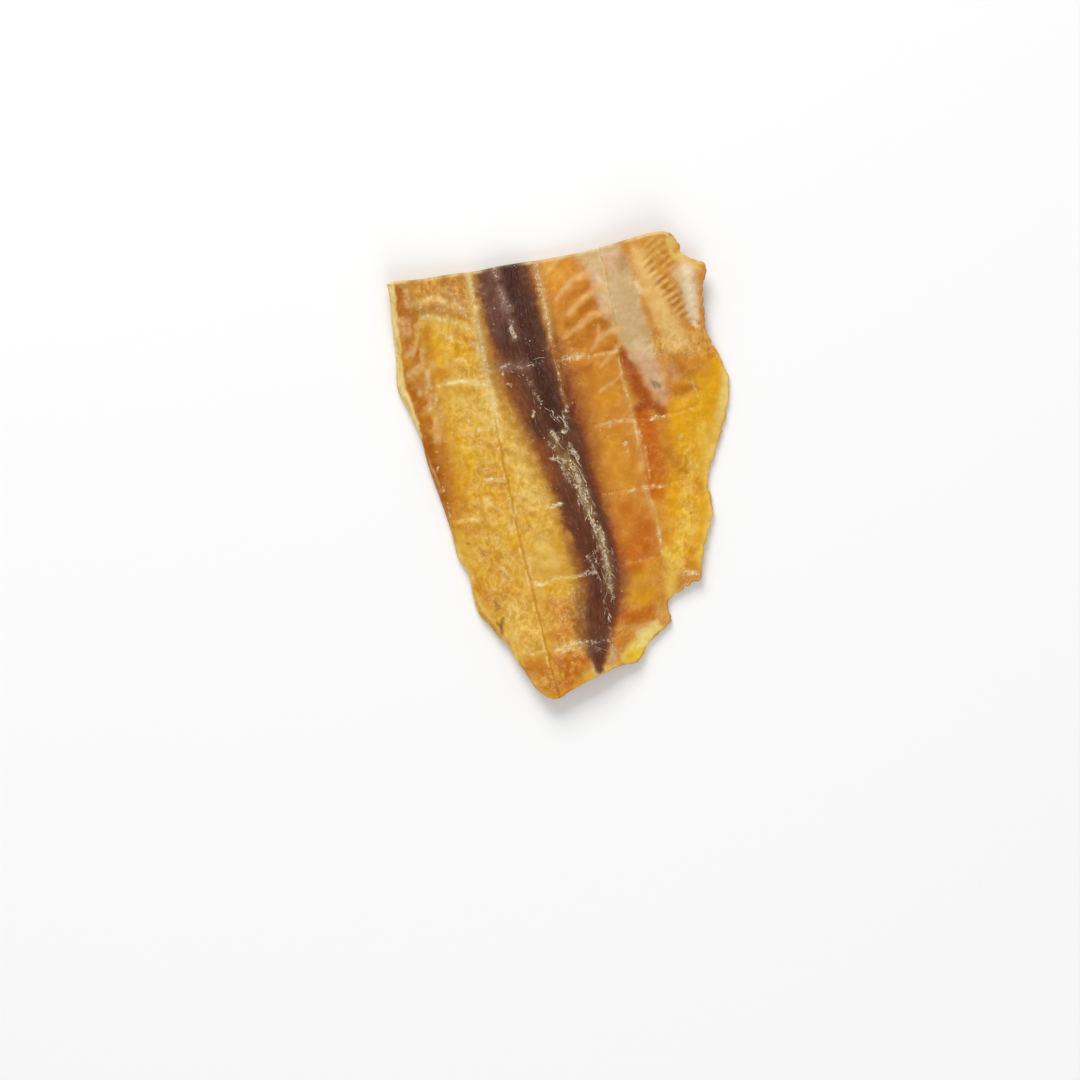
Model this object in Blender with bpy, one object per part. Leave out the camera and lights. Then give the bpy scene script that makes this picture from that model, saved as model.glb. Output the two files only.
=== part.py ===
"""A cut piece of salted dried cod fillet, lying flat on its smoother face.

The piece is one hard, thin slab. Its head end is a straight knife cut, its right side is torn,
and it narrows to a blunt tip at the tail end. A dark muscle band runs down it in a shallow
valley, with chevron ridges on both sides. Wires of the square drying rack, on which this face
lay, have pressed straight grooves across it.

X runs across the piece, Y from tail to head, Z up. The origin is under the middle of the piece.
"""

import bmesh
import bpy
import numpy as np
from mathutils import Vector, noise

MM = 0.001

# Overall size of the piece, in millimetres
WIDTH = 78.4
LENGTH = 106.4

# Outline, in millimetres from the middle of the piece. Each side runs the way its comment says,
# and the two long sides leave out the corners that the cuts already hold.
HEAD_CUT = (  # left corner to right corner
    (-39.2, 41.2), (-37.8, 41.9), (-31.5, 42.2), (-25.3, 43.5), (-19.2, 44.1),
    (-13.3, 45.5), (0.3, 47.5), (8.8, 49.3), (16.3, 51.5), (22.4, 53.2), (25.1, 52.8),
)
TAIL_CUT = (  # rounded tip to the corner of the flap
    (-2.6, -52.7), (-0.8, -53.2), (0.8, -52.7), (2.2, -51.4), (9.4, -47.7),
    (15.3, -45.0), (16.8, -45.3),
)
LEFT_SIDE = (  # tip to head
    (-4.9, -51.2), (-6.5, -48.8), (-7.8, -46.6), (-9.5, -44.9), (-10.9, -41.9),
    (-12.4, -39.9), (-14.0, -39.0), (-15.8, -36.3), (-18.0, -34.6), (-19.0, -32.4),
    (-20.0, -27.8), (-20.7, -24.2), (-22.4, -22.3), (-23.2, -20.8), (-25.1, -12.8),
    (-30.3, 1.0), (-30.8, 4.9), (-34.4, 12.6), (-36.3, 15.8), (-37.2, 19.0),
    (-37.0, 23.5), (-38.1, 32.5), (-38.4, 38.0),
)
RIGHT_SIDE = (  # flap to head
    (18.4, -44.8), (19.3, -43.6), (20.3, -41.0), (22.2, -39.0), (24.9, -36.7),
    (26.5, -35.2), (25.5, -34.1), (24.8, -32.0), (25.8, -29.9), (27.8, -28.8),
    (29.6, -27.5), (32.0, -26.3), (33.4, -25.3), (32.7, -24.0), (33.1, -20.6),
    (34.4, -15.3), (35.8, -11.5), (34.9, -6.1), (33.9, -3.6), (35.3, -0.1),
    (35.9, 3.5), (37.7, 8.1), (39.1, 14.9), (39.2, 20.6), (37.5, 23.6),
    (36.3, 26.4), (33.8, 30.2), (33.5, 33.8), (32.9, 39.2), (33.4, 43.0),
    (34.0, 45.9), (31.4, 46.6), (28.7, 47.5), (27.5, 48.9), (27.6, 51.0),
)
CORNER_ROUNDS = 3  # times that each corner of the outline is cut

# The dark muscle band, head to tail, along its middle
MUSCLE_BAND = (
    (-12.6, 47.0), (-10.6, 33.1), (-6.9, 21.7), (-3.1, 11.5), (0.8, 2.4), (4.2, -5.6),
    (7.2, -14.7), (9.4, -24.9), (9.7, -35.1), (9.4, -48.0),
)
BAND_HALF_WIDTH = 6.0
BAND_VALLEY = 0.55

# Thickness
HEAD_THICKNESS = 4.4
TAIL_THICKNESS = 3.2
LOBE_DISTANCE = 15.0  # from the band to the thickest line on each side
LOBE_RISE = 0.5
EDGE_TAPER = 11.0  # width over which the slab thins towards its edge

# Height of the edge wall on each side, and how far the top face draws in from the outline
HEAD_WALL, HEAD_BEVEL = 3.0, 0.4
TAIL_WALL, TAIL_BEVEL = 1.9, 0.4
LEFT_WALL, LEFT_BEVEL = 2.3, 1.3
RIGHT_WALL, RIGHT_BEVEL = 1.5, 0.6
UNDER_BEVEL = 0.35
WALL_BELLY = 0.45  # share of the wall's height at which it stands out furthest

# Chevron ridges of the muscle segments
SEGMENT_PITCH = 5.4
SEGMENT_RIDGE = 0.16
CHEVRON_SLOPE = 0.85
CHEVRON_TURN = 17.0  # distance from the band at which the chevrons turn back

# Grooves pressed by the wires of the drying rack, which lay turned by RACK_TURN
RACK_TURN = np.radians(12.0)
LONG_WIRE, LONG_PITCH = -11.1, 15.2  # place of one wire that runs lengthwise, and their pitch
CROSS_WIRE, CROSS_PITCH = 7.6, 15.75
RACK_GROOVE, RACK_GROOVE_WIDTH = 0.32, 1.1

# Curl: (x, y, rise, reach). The corners lift, and the middle rests.
CURLS = (
    (30.0, 50.0, 3.4, 34.0),
    (-40.0, 44.0, 1.9, 26.0),
    (2.0, -54.0, 2.8, 30.0),
    (38.0, -24.0, 1.2, 18.0),
    (-34.0, 4.0, 0.7, 14.0),
)
BAND_ARCH, BAND_ARCH_WIDTH = 0.7, 7.0  # the underside bridges the band a little
FACE_WAVE, FACE_WAVE_LENGTH = 0.28, 14.0  # slow unevenness of the top face

# Mesh: quads across and along the top face. The underside has half as many each way.
ACROSS, ALONG = 46, 62


def smooth_line(points, rounds):
    """The line with its corners cut, again and again, and its two ends kept."""
    line = np.array(points, float)
    for _ in range(rounds):
        near = 0.75 * line[:-1] + 0.25 * line[1:]
        far = 0.25 * line[:-1] + 0.75 * line[1:]
        middle = np.stack([near, far], axis=1).reshape(-1, 2)
        line = np.vstack([line[:1], middle[1:-1], line[-1:]])
    return line


def spread(line, count):
    """count + 1 points at equal steps along a line."""
    steps = np.linalg.norm(np.diff(line, axis=0), axis=1)
    reached = np.concatenate([[0.0], np.cumsum(steps)])
    wanted = np.linspace(0.0, reached[-1], count + 1)
    return np.stack([np.interp(wanted, reached, line[:, k]) for k in (0, 1)], axis=1)


def smoothstep(value):
    t = np.clip(value, 0.0, 1.0)
    return t * t * (3.0 - 2.0 * t)


def nearest(points, line):
    """For each point: its distance to a line, the length along the line, and its side, +1 right."""
    start, step = line[:-1], np.diff(line, axis=0)
    length = np.linalg.norm(step, axis=1)
    gap = points[:, None, :] - start[None, :, :]
    share = np.clip((gap * step).sum(2) / length**2, 0.0, 1.0)
    away = gap - share[:, :, None] * step
    distance = np.linalg.norm(away, axis=2)
    best = distance.argmin(1)
    rows = np.arange(len(points))
    reached = np.concatenate([[0.0], np.cumsum(length)])[best] + share[rows, best] * length[best]
    cross = step[best, 0] * away[rows, best, 1] - step[best, 1] * away[rows, best, 0]
    return distance[rows, best], reached, np.where(cross > 0, 1.0, -1.0)


def outline_sides():
    """The four sides of the outline with their smoothed corners, sized to WIDTH and LENGTH."""
    left = (TAIL_CUT[0], *LEFT_SIDE, HEAD_CUT[0])
    right = (TAIL_CUT[-1], *RIGHT_SIDE, HEAD_CUT[-1])
    sides = [smooth_line(side, CORNER_ROUNDS) for side in (TAIL_CUT, HEAD_CUT, left, right)]
    everything = np.vstack(sides)
    low, high = everything.min(0), everything.max(0)
    size = np.array([WIDTH, LENGTH])
    return [(side - (low + high) / 2) / (high - low) * size for side in sides]


def ring_of(tail, head, left, right):
    """The four sides as one ring, counter-clockwise from the tip: tail, right, head, left."""
    return np.vstack([tail[:-1], right[:-1], head[:0:-1], left[:0:-1]])


def side_values(counts, tail, right, head, left):
    """One value for each point of the ring, worked smoothly from one side's value to the next's."""
    across, along = counts
    values = np.repeat([tail, right, head, left], [across, along, across, along]).astype(float)
    reach = max(2, across // 12)
    window = np.hanning(2 * reach + 3)[1:-1]
    padded = np.concatenate([values[-reach:], values, values[:reach]])
    return np.convolve(padded, window / window.sum(), mode="valid")


def drawn_in(ring, inset):
    """The ring moved inwards by the inset of each point."""
    along = np.roll(ring, -1, axis=0) - np.roll(ring, 1, axis=0)
    inward = np.stack([-along[:, 1], along[:, 0]], axis=1)
    inward /= np.linalg.norm(inward, axis=1)[:, None]
    return ring + inward * inset[:, None]


def patch(ring, across, along):
    """A grid of (along + 1) rows that fills a ring, blended from its four sides."""
    tail = ring[: across + 1]
    right = ring[across : across + along + 1]
    head = ring[across + along : 2 * across + along + 1][::-1]
    left = np.vstack([ring[2 * across + along :], ring[:1]])[::-1]
    u = np.linspace(0.0, 1.0, across + 1)[None, :, None]
    v = np.linspace(0.0, 1.0, along + 1)[:, None, None]
    ruled = (1 - v) * tail[None] + v * head[None] + (1 - u) * left[:, None] + u * right[:, None]
    corners = (1 - v) * ((1 - u) * tail[0] + u * tail[-1]) + v * ((1 - u) * head[0] + u * head[-1])
    return ruled - corners


def lift(points):
    """Height of the underside: curled up at the corners, bridging the band, flat where it rests."""
    height = np.zeros(len(points))
    for x, y, rise, reach in CURLS:
        away = np.hypot(points[:, 0] - x, points[:, 1] - y)
        height += rise * smoothstep(1.0 - away / reach)
    from_band = nearest(points, smooth_line(MUSCLE_BAND, 2))[0]
    return height + BAND_ARCH * smoothstep(1.0 - from_band / BAND_ARCH_WIDTH)


def chevrons(points):
    """Ridge height of the muscle segments, which rise away from the band and turn back near the edges."""
    distance, reached, _ = nearest(points, smooth_line(MUSCLE_BAND, 2))
    fold = np.minimum(distance, CHEVRON_TURN) - 0.7 * np.maximum(distance - CHEVRON_TURN, 0.0)
    phase = (reached + CHEVRON_SLOPE * fold) / SEGMENT_PITCH
    fade = smoothstep((distance - BAND_HALF_WIDTH) / 3.0)
    return SEGMENT_RIDGE * fade * np.cos(2 * np.pi * phase)


def rack_grooves(points):
    """Depth of the grooves where the rack's wires ran, both ways."""
    turn = np.array([[np.cos(RACK_TURN), np.sin(RACK_TURN)], [-np.sin(RACK_TURN), np.cos(RACK_TURN)]])
    across, along = (points @ turn.T).T
    depth = np.zeros(len(points))
    for place, wire, pitch in ((across, LONG_WIRE, LONG_PITCH), (along, CROSS_WIRE, CROSS_PITCH)):
        from_wire = np.abs((place - wire + pitch / 2) % pitch - pitch / 2)
        depth = np.maximum(depth, RACK_GROOVE * smoothstep(1.0 - from_wire / RACK_GROOVE_WIDTH))
    return depth


def waves(points):
    """Slow unevenness of the dried face."""
    places = (Vector((x, y, 0.0)) / FACE_WAVE_LENGTH for x, y in points)
    return FACE_WAVE * np.array([noise.noise(place) for place in places])


def thickness(points, rim, wall):
    """How thick the slab is at each point, from the wall's height at the rim to the full body."""
    toward_head = smoothstep(points[:, 1] / LENGTH + 0.5)
    body = TAIL_THICKNESS + (HEAD_THICKNESS - TAIL_THICKNESS) * toward_head
    from_band = nearest(points, smooth_line(MUSCLE_BAND, 2))[0]
    body = body + LOBE_RISE * smoothstep(1.0 - np.abs(from_band - LOBE_DISTANCE) / LOBE_DISTANCE)
    body = body - BAND_VALLEY * smoothstep(1.0 - from_band / BAND_HALF_WIDTH)
    body = body + waves(points) + chevrons(points) - rack_grooves(points)
    gap = np.linalg.norm(points[:, None, :] - rim[None, :, :], axis=2)
    closest = gap.argmin(1)
    share = smoothstep(gap.min(1) / EDGE_TAPER) ** 0.8
    return wall[closest] + (body - wall[closest]) * share


def add_rows(work, grid, heights):
    """The vertices of a grid, as rows of bmesh vertices."""
    flat = grid.reshape(-1, 2)
    made = [work.verts.new((x * MM, y * MM, z * MM)) for (x, y), z in zip(flat, heights)]
    wide = grid.shape[1]
    return [made[k : k + wide] for k in range(0, len(made), wide)]


def fill_rows(work, rows, face_up):
    """Quads between the rows, facing up or down."""
    for low, high in zip(rows[:-1], rows[1:]):
        for k in range(len(low) - 1):
            corners = (low[k], low[k + 1], high[k + 1], high[k])
            work.faces.new(corners if face_up else corners[::-1])


def border(rows):
    """The vertices round a grid, counter-clockwise from its first."""
    right = [row[-1] for row in rows[1:-1]]
    left = [row[0] for row in rows[1:-1]]
    return rows[0] + right + rows[-1][::-1] + left[::-1]


def join_rings(work, upper, lower):
    """A wall between two rings, where the lower one may have half as many vertices."""
    ratio = len(upper) // len(lower)
    for k in range(len(lower)):
        a, b = lower[k], lower[(k + 1) % len(lower)]
        top = [upper[(ratio * k + step) % len(upper)] for step in range(ratio + 1)]
        work.faces.new((a, b, top[-1]))
        for near, far in zip(top[:-1], top[1:]):
            work.faces.new((a, far, near))


def fillet_mesh():
    """The closed slab: a top grid, a coarser under grid, and a bellied wall between them."""
    tail, head, left, right = outline_sides()
    ring = ring_of(spread(tail, ACROSS), spread(head, ACROSS), spread(left, ALONG), spread(right, ALONG))
    counts = (ACROSS, ALONG)
    wall = side_values(counts, TAIL_WALL, RIGHT_WALL, HEAD_WALL, LEFT_WALL)
    bevel = side_values(counts, TAIL_BEVEL, RIGHT_BEVEL, HEAD_BEVEL, LEFT_BEVEL)
    top_ring = drawn_in(ring, bevel)
    under_ring = drawn_in(ring, np.full(len(ring), UNDER_BEVEL))[::2]

    top = patch(top_ring, ACROSS, ALONG)
    under = patch(under_ring, ACROSS // 2, ALONG // 2)
    top_points, under_points = top.reshape(-1, 2), under.reshape(-1, 2)

    work = bmesh.new()
    top_heights = lift(top_points) + thickness(top_points, top_ring, wall)
    top_rows = add_rows(work, top, top_heights)
    under_rows = add_rows(work, under, lift(under_points))
    belly = [
        work.verts.new((x * MM, y * MM, z * MM))
        for (x, y), z in zip(ring, lift(ring) + WALL_BELLY * wall)
    ]
    fill_rows(work, top_rows, face_up=True)
    fill_rows(work, under_rows, face_up=False)
    join_rings(work, border(top_rows), belly)
    join_rings(work, belly, border(under_rows))
    bmesh.ops.triangulate(work, faces=work.faces[:])

    mesh = bpy.data.meshes.new("cod_piece")
    work.to_mesh(mesh)
    work.free()
    return mesh


def dried_flesh():
    """Hard, waxy, amber-coloured dried fish."""
    material = bpy.data.materials.new("dried_flesh")
    material.use_nodes = True
    shader = material.node_tree.nodes["Principled BSDF"]
    shader.inputs["Base Color"].default_value = (0.62, 0.33, 0.06, 1.0)
    shader.inputs["Roughness"].default_value = 0.45
    shader.inputs["Metallic"].default_value = 0.0
    return material


def main():
    for old in list(bpy.data.objects):
        bpy.data.objects.remove(old)
    piece = bpy.data.objects.new("cod_piece", fillet_mesh())
    bpy.context.scene.collection.objects.link(piece)
    piece.data.materials.append(dried_flesh())
    piece.data.shade_smooth()
    piece.data.set_sharp_from_angle(angle=np.radians(40.0))


main()
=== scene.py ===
# %% [markdown]
# # A cut piece of salted dried cod
#
# Salted and dried until it is hard, the flesh of a cod looks like amber: it is golden and a little
# clear, it lets light through where it is thin, and its surface has a dull, waxy shine. This lesson
# dresses one cut piece. It starts from a closed solid with the right size and outline, makes a
# much finer surface over it, presses and wrinkles that surface as drying does, stains it, and
# strews the small pale scraps on it that such a piece always carries.

import bpy
import numpy as np
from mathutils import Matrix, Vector
from mathutils.bvhtree import BVHTree
from mathutils.kdtree import KDTree


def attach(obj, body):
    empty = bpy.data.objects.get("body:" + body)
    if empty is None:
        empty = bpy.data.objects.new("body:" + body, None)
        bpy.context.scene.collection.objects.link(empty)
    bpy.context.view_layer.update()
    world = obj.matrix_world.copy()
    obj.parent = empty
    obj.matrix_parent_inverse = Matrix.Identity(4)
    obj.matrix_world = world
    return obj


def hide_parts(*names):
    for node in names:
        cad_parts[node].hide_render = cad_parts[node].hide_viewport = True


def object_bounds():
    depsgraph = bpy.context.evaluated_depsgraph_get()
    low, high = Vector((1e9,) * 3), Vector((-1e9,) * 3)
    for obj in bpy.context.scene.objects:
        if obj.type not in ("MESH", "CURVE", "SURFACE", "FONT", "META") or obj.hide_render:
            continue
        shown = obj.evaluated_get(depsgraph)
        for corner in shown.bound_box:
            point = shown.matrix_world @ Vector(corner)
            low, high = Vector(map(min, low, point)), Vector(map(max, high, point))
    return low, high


MM = 0.001
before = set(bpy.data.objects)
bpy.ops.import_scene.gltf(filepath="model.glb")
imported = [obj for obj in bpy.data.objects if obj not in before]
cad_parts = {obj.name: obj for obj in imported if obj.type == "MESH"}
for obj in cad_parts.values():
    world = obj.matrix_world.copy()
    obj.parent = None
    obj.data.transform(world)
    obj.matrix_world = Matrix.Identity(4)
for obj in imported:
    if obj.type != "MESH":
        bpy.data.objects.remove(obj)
cad_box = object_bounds()
print("solid's box in mm:", [[round(c / MM, 2) for c in corner] for corner in cad_box])

# %% [markdown]
# ## Camera
#
# The photograph looks straight down on the piece, which lies with its head end up. A long lens
# from high above shows no side walls, as in the photograph. Its place follows from two facts: how
# many pixels of the photograph make a millimetre, and which pixel is the middle of the piece.

# %% Place the camera
PHOTO_WIDTH = 1080
PIXELS_PER_MM = 4.4
MIDDLE_PIXEL = np.array([558.5, 465.5])
TYPICAL_TOP = 4.5  # mm above the table, where the scale of the photograph is true

LENS, SENSOR = 90.0, 36.0
view_width = PHOTO_WIDTH / PIXELS_PER_MM
camera = bpy.data.objects.new("camera", bpy.data.cameras.new("camera"))
camera.data.lens = LENS
camera.data.sensor_width = SENSOR
camera.data.clip_start = 0.01
off_middle = (PHOTO_WIDTH / 2 - MIDDLE_PIXEL) / PIXELS_PER_MM
camera_height = TYPICAL_TOP + view_width * LENS / SENSOR
camera.location = (off_middle[0] * MM, -off_middle[1] * MM, camera_height * MM)
bpy.context.scene.collection.objects.link(camera)
bpy.context.scene.camera = camera
print("the view is", round(view_width, 1), "mm wide, from", round(camera_height), "mm up")

# %% [markdown]
# ## The outline of the solid
#
# The fine surface has to keep the outline of the solid. Seen from above, the outline is the line
# where faces that look up meet faces that look down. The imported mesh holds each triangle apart,
# so its corners are first joined, and then the line is followed from edge to edge.

# %% Follow the solid's widest line
SHARPEST_TURN = -0.3  # cosine of the sharpest turn that the line may take


def welded(node):
    """A node's corners in millimetres, each once, and its triangles."""
    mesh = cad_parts[node].data
    places = np.empty(3 * len(mesh.vertices), np.float32)
    mesh.vertices.foreach_get("co", places)
    corners = np.empty(len(mesh.loops), np.int32)
    mesh.loops.foreach_get("vertex_index", corners)
    rounded = np.round(places.reshape(-1, 3).astype(float) / MM, 3)
    points, index = np.unique(rounded, axis=0, return_inverse=True)
    return points, index.reshape(-1)[corners].reshape(-1, 3)


def without_zigzags(line):
    """A line of points without those at which it would turn back."""
    kept = [line[0], line[1]]
    for point in line[2:]:
        came, goes = (kept[-1] - kept[-2])[:2], (point - kept[-1])[:2]
        if came @ goes > SHARPEST_TURN * np.linalg.norm(came) * np.linalg.norm(goes):
            kept.append(point)
    return np.array(kept)


def widest_line(points, triangles):
    """The outline as seen from above, in order and counter-clockwise."""
    a, b, c = (points[triangles[:, k]] for k in range(3))
    looks_up = np.cross(b - a, c - a)[:, 2] > 0
    upper = set()
    for corners in triangles[looks_up].tolist():
        upper.update(zip(corners, corners[1:] + corners[:1]))
    following = {}
    for corners in triangles[~looks_up].tolist():
        for far, near in zip(corners, corners[1:] + corners[:1]):
            if (near, far) in upper:
                following[near] = far
    line = [next(iter(following))]
    while following[line[-1]] != line[0]:
        line.append(following[line[-1]])
    return without_zigzags(points[line])


solid_points, solid_triangles = welded("cod_piece")
outline = widest_line(solid_points, solid_triangles)
print("outline:", len(outline), "points, lowest and highest", outline.min(0), outline.max(0))

# %% [markdown]
# ## A finer outline with four sides
#
# The outline is parted at its four corners: the head cut, the tail cut and the two long sides.
# Each side gets a smooth line through its points and then even steps along that line, close
# enough for the smallest tear to show. A torn side has nicks, and a knife cut has almost none.

# %% Part the outline and refine it
TIP, FLAP = (-2.6, -52.9), (16.9, -45.4)  # mm
HEAD_RIGHT, HEAD_LEFT = (25.1, 52.8), (-39.2, 41.2)  # mm
ACROSS, ALONG = 212, 312  # quads, even numbers, because the underside has half as many
FINER = 8  # steps of the smooth line between two points of the solid's outline


def smooth_through(points, count):
    """count + 1 even steps along a smooth line through the points."""
    held = np.vstack([2 * points[0] - points[1], points, 2 * points[-1] - points[-2]])
    p, q, r, s = held[:-3], held[1:-2], held[2:-1], held[3:]
    t = np.linspace(0, 1, FINER, endpoint=False)[:, None, None]
    fine = 2 * q + (r - p) * t + (2 * p - 5 * q + 4 * r - s) * t**2 + (3 * q - p - 3 * r + s) * t**3
    line = np.vstack([fine.transpose(1, 0, 2).reshape(-1, 3) / 2, points[-1:]])
    reached = np.concatenate([[0], np.cumsum(np.linalg.norm(np.diff(line, axis=0), axis=1))])
    steps = np.linspace(0, reached[-1], count + 1)
    return np.stack([np.interp(steps, reached, line[:, k]) for k in range(3)], axis=1)


def side_between(start, end, count):
    """The smooth side of the outline from one corner to the next, counter-clockwise."""
    first, last = (np.hypot(*(outline[:, :2] - corner).T).argmin() for corner in (start, end))
    if last < first:
        last += len(outline)
    return smooth_through(outline[np.arange(first, last + 1) % len(outline)], count)


corners = (TIP, FLAP, HEAD_RIGHT, HEAD_LEFT)
counts = (ACROSS, ALONG, ACROSS, ALONG)
sides = [side_between(a, b, n) for a, b, n in zip(corners, corners[1:] + corners[:1], counts)]
belly = np.vstack([side[:-1] for side in sides])
side_of = np.repeat([0, 1, 2, 3], counts)  # 0 tail cut, 1 torn right side, 2 head cut, 3 left side
print("fine outline:", len(belly), "points")

# %% [markdown]
# ## Noise
#
# Nothing on dried flesh is even, so nearly every step below needs some unevenness. A small
# function gives smooth noise over the plane: each corner of a square lattice gets a slope from
# a fixed scrambling of its number, and the slopes are blended in between. The same place always
# gives the same value, so the piece comes out the same each time.

# %% Make smooth noise
def lumps(places, size, seed=0):
    """Smooth noise from about -1 to 1, with lumps about size across."""
    grid = np.asarray(places, float)[:, :2] / size + 31.7 * seed
    cell = np.floor(grid).astype(np.int64)
    share = grid - cell
    ease = share**3 * (share * (share * 6 - 15) + 10)
    rows = []
    for up in (0, 1):
        row = []
        for right in (0, 1):
            mixed = (cell[:, 0] + right) * 374761393 + (cell[:, 1] + up) * 668265263 + seed * 974634777
            mixed = ((mixed ^ (mixed >> 13)) * 1274126177) & 0xFFFFFFFF
            angle = ((mixed ^ (mixed >> 16)) & 0xFFFF) * (2 * np.pi / 65536)
            row.append(np.cos(angle) * (share[:, 0] - right) + np.sin(angle) * (share[:, 1] - up))
        rows.append(row[0] + ease[:, 0] * (row[1] - row[0]))
    return 1.5 * (rows[0] + ease[:, 1] * (rows[1] - rows[0]))


def crumple(places, size, octaves, seed=0):
    """Noise with finer and fainter noise on it."""
    return sum(lumps(places, size / 2**k, seed + k) / 2**k for k in range(octaves)) / 1.5


def ramp(value, low, high):
    """0 below low, 1 above high, and smooth in between. With low above high it falls."""
    t = np.clip((value - low) / (high - low), 0.0, 1.0)
    return t * t * (3 - 2 * t)


test = lumps(np.random.default_rng(1).uniform(-50, 50, (4000, 2)), 3.0)
print("noise from", round(test.min(), 2), "to", round(test.max(), 2))

# %% Fray the outline
NICKS = (0.08, 0.45, 0.04, 0.07)  # mm, for the tail cut, torn side, head cut and left side
PULLED_IN = 0.02  # mm all round, so that nothing passes the solid's outline


def even_round(values, reach):
    """Values round a ring, each worked into its neighbours."""
    window = np.hanning(2 * reach + 3)[1:-1]
    padded = np.concatenate([values[-reach:], values, values[:reach]])
    return np.convolve(padded, window / window.sum(), mode="valid")


def inward(ring):
    """The direction into the piece at each point of a ring."""
    along = (np.roll(ring, -1, axis=0) - np.roll(ring, 1, axis=0))[:, :2]
    turned = np.stack([-along[:, 1], along[:, 0]], axis=1)
    return turned / np.linalg.norm(turned, axis=1)[:, None]


nick = even_round(np.array(NICKS)[side_of], 8)
tear = ramp(lumps(belly, 1.1, 3), 0.0, 0.9) + 0.7 * ramp(lumps(belly, 3.0, 4), 0.0, 0.9)
belly[:, :2] += inward(belly) * (nick * tear + PULLED_IN)[:, None]
print("deepest nick:", round(float((nick * tear).max()), 2), "mm")

# %% [markdown]
# ## A sheet of even quads
#
# A grid that is blended from the four sides fills the outline with quads that run across and
# along the piece, and has no seams. Its heights are read from the solid by rays. The solid is
# faceted, so the heights are then softened, which also takes out its coarse ridges: the fine ones
# are pressed in afterwards.

# %% Fill the outline with a grid
BEVELS = (0.45, 0.6, 0.4, 1.3)  # mm that the top edge lies inside the outline, side by side
UNDER_BEVEL = 0.33  # mm that the lower edge lies inside it
ROUNDS = 240  # of moving the grid's points


def blended_grid(ring, across, along):
    """Rows of points that fill a ring, from the tail to the head."""
    tail, right = ring[: across + 1], ring[across : across + along + 1]
    head = ring[across + along : 2 * across + along + 1][::-1]
    left = np.vstack([ring[2 * across + along :], ring[:1]])[::-1]
    u = np.linspace(0, 1, across + 1)[None, :, None]
    v = np.linspace(0, 1, along + 1)[:, None, None]
    ruled = (1 - v) * tail[None] + v * head[None] + (1 - u) * left[:, None] + u * right[:, None]
    return ruled - (1 - v) * ((1 - u) * tail[0] + u * tail[-1]) - v * ((1 - u) * head[0] + u * head[-1])


def relaxed(grid):
    """A grid whose inner points have moved until its rows can no longer cross."""
    for _ in range(ROUNDS):
        du = (grid[1:-1, 2:] - grid[1:-1, :-2]) / 2
        dv = (grid[2:, 1:-1] - grid[:-2, 1:-1]) / 2
        cross = (grid[2:, 2:] - grid[2:, :-2] - grid[:-2, 2:] + grid[:-2, :-2]) / 4
        a, b, c = ((p * q).sum(2, keepdims=True) for p, q in ((dv, dv), (du, dv), (du, du)))
        beside = grid[1:-1, 2:] + grid[1:-1, :-2]
        above = grid[2:, 1:-1] + grid[:-2, 1:-1]
        grid[1:-1, 1:-1] = (a * beside + c * above - 2 * b * cross) / (2 * (a + c))
    return grid


bevel = even_round(np.array(BEVELS)[side_of], 10)
calm = np.column_stack([even_round(belly[:, k], 4) for k in (0, 1)])
top_ring = calm + inward(calm) * bevel[:, None]
under_ring = (calm + inward(calm) * UNDER_BEVEL)[::2]
top_grid = relaxed(blended_grid(top_ring, ACROSS, ALONG))
under_grid = relaxed(blended_grid(under_ring, ACROSS // 2, ALONG // 2))
print("top grid", top_grid.shape[:2], "under grid", under_grid.shape[:2])

# %% Read the heights from the solid
solid_tree = BVHTree.FromPolygons([Vector(p) for p in solid_points], solid_triangles.tolist())
SOFTEN = 4  # grid steps
FAR = 30.0  # mm, well clear of the piece


def heights(grid, from_above):
    """Height of the solid over or under each point of a grid."""
    start, way = (FAR, Vector((0, 0, -1))) if from_above else (-FAR, Vector((0, 0, 1)))
    hits = [solid_tree.ray_cast(Vector((x, y, start)), way)[0] for x, y in grid.reshape(-1, 2)]
    found = np.array([np.nan if hit is None else hit.z for hit in hits])
    missed = np.isnan(found)
    found[missed] = np.nanmean(found)
    print("rays:", len(found), "missed:", int(missed.sum()))
    return found.reshape(grid.shape[:2])


def softened(grid, reach):
    """A grid of heights without the solid's facets."""
    weights = np.exp(-0.5 * (np.arange(-3 * reach, 3 * reach + 1) / reach) ** 2)
    for axis in (0, 1):
        wide = [(3 * reach, 3 * reach) if k == axis else (0, 0) for k in (0, 1)]
        grid = np.pad(grid, wide, mode="reflect", reflect_type="odd")
        grid = np.apply_along_axis(np.convolve, axis, grid, weights / weights.sum(), mode="valid")
    return grid


top_heights = softened(heights(top_grid, True), SOFTEN)
under_heights = np.maximum(softened(heights(under_grid, False), SOFTEN // 2), 0.0)
print("top from", round(top_heights.min(), 2), "to", round(top_heights.max(), 2), "mm")

# %% [markdown]
# ## Walls
#
# Between the top and the underside runs a narrow wall. A dried edge is rounded: the wall leaves
# the top in a quarter of a rounded square, is widest a little below the middle, and turns under
# again. Torn edges show the layers of the muscle as thin ledges, so the wall is pushed in a
# little by noise that is long along the edge and short up the wall.

# %% Raise the wall
UPPER_SHARES = (0.96, 0.82, 0.62, 0.38, 0.16)  # of the height from the widest line to the top
LOWER_SHARES = (0.0, 0.35, 0.72)  # of the height from the widest line down
SQUARENESS = (3.5, 2.2, 4.0, 2.0)  # 2 is a round edge, 4 is a sharp one
LEDGES = (0.08, 0.22, 0.05, 0.03)  # mm
LAYER, LAYER_STRETCH = 0.55, 5  # mm high, and how much longer than high

square = even_round(np.array(SQUARENESS)[side_of], 8)
ledge = even_round(np.array(LEDGES)[side_of], 8)
around = np.concatenate([[0], np.cumsum(np.linalg.norm(np.diff(belly[:, :2], axis=0), axis=1))])
into = inward(belly)


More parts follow.
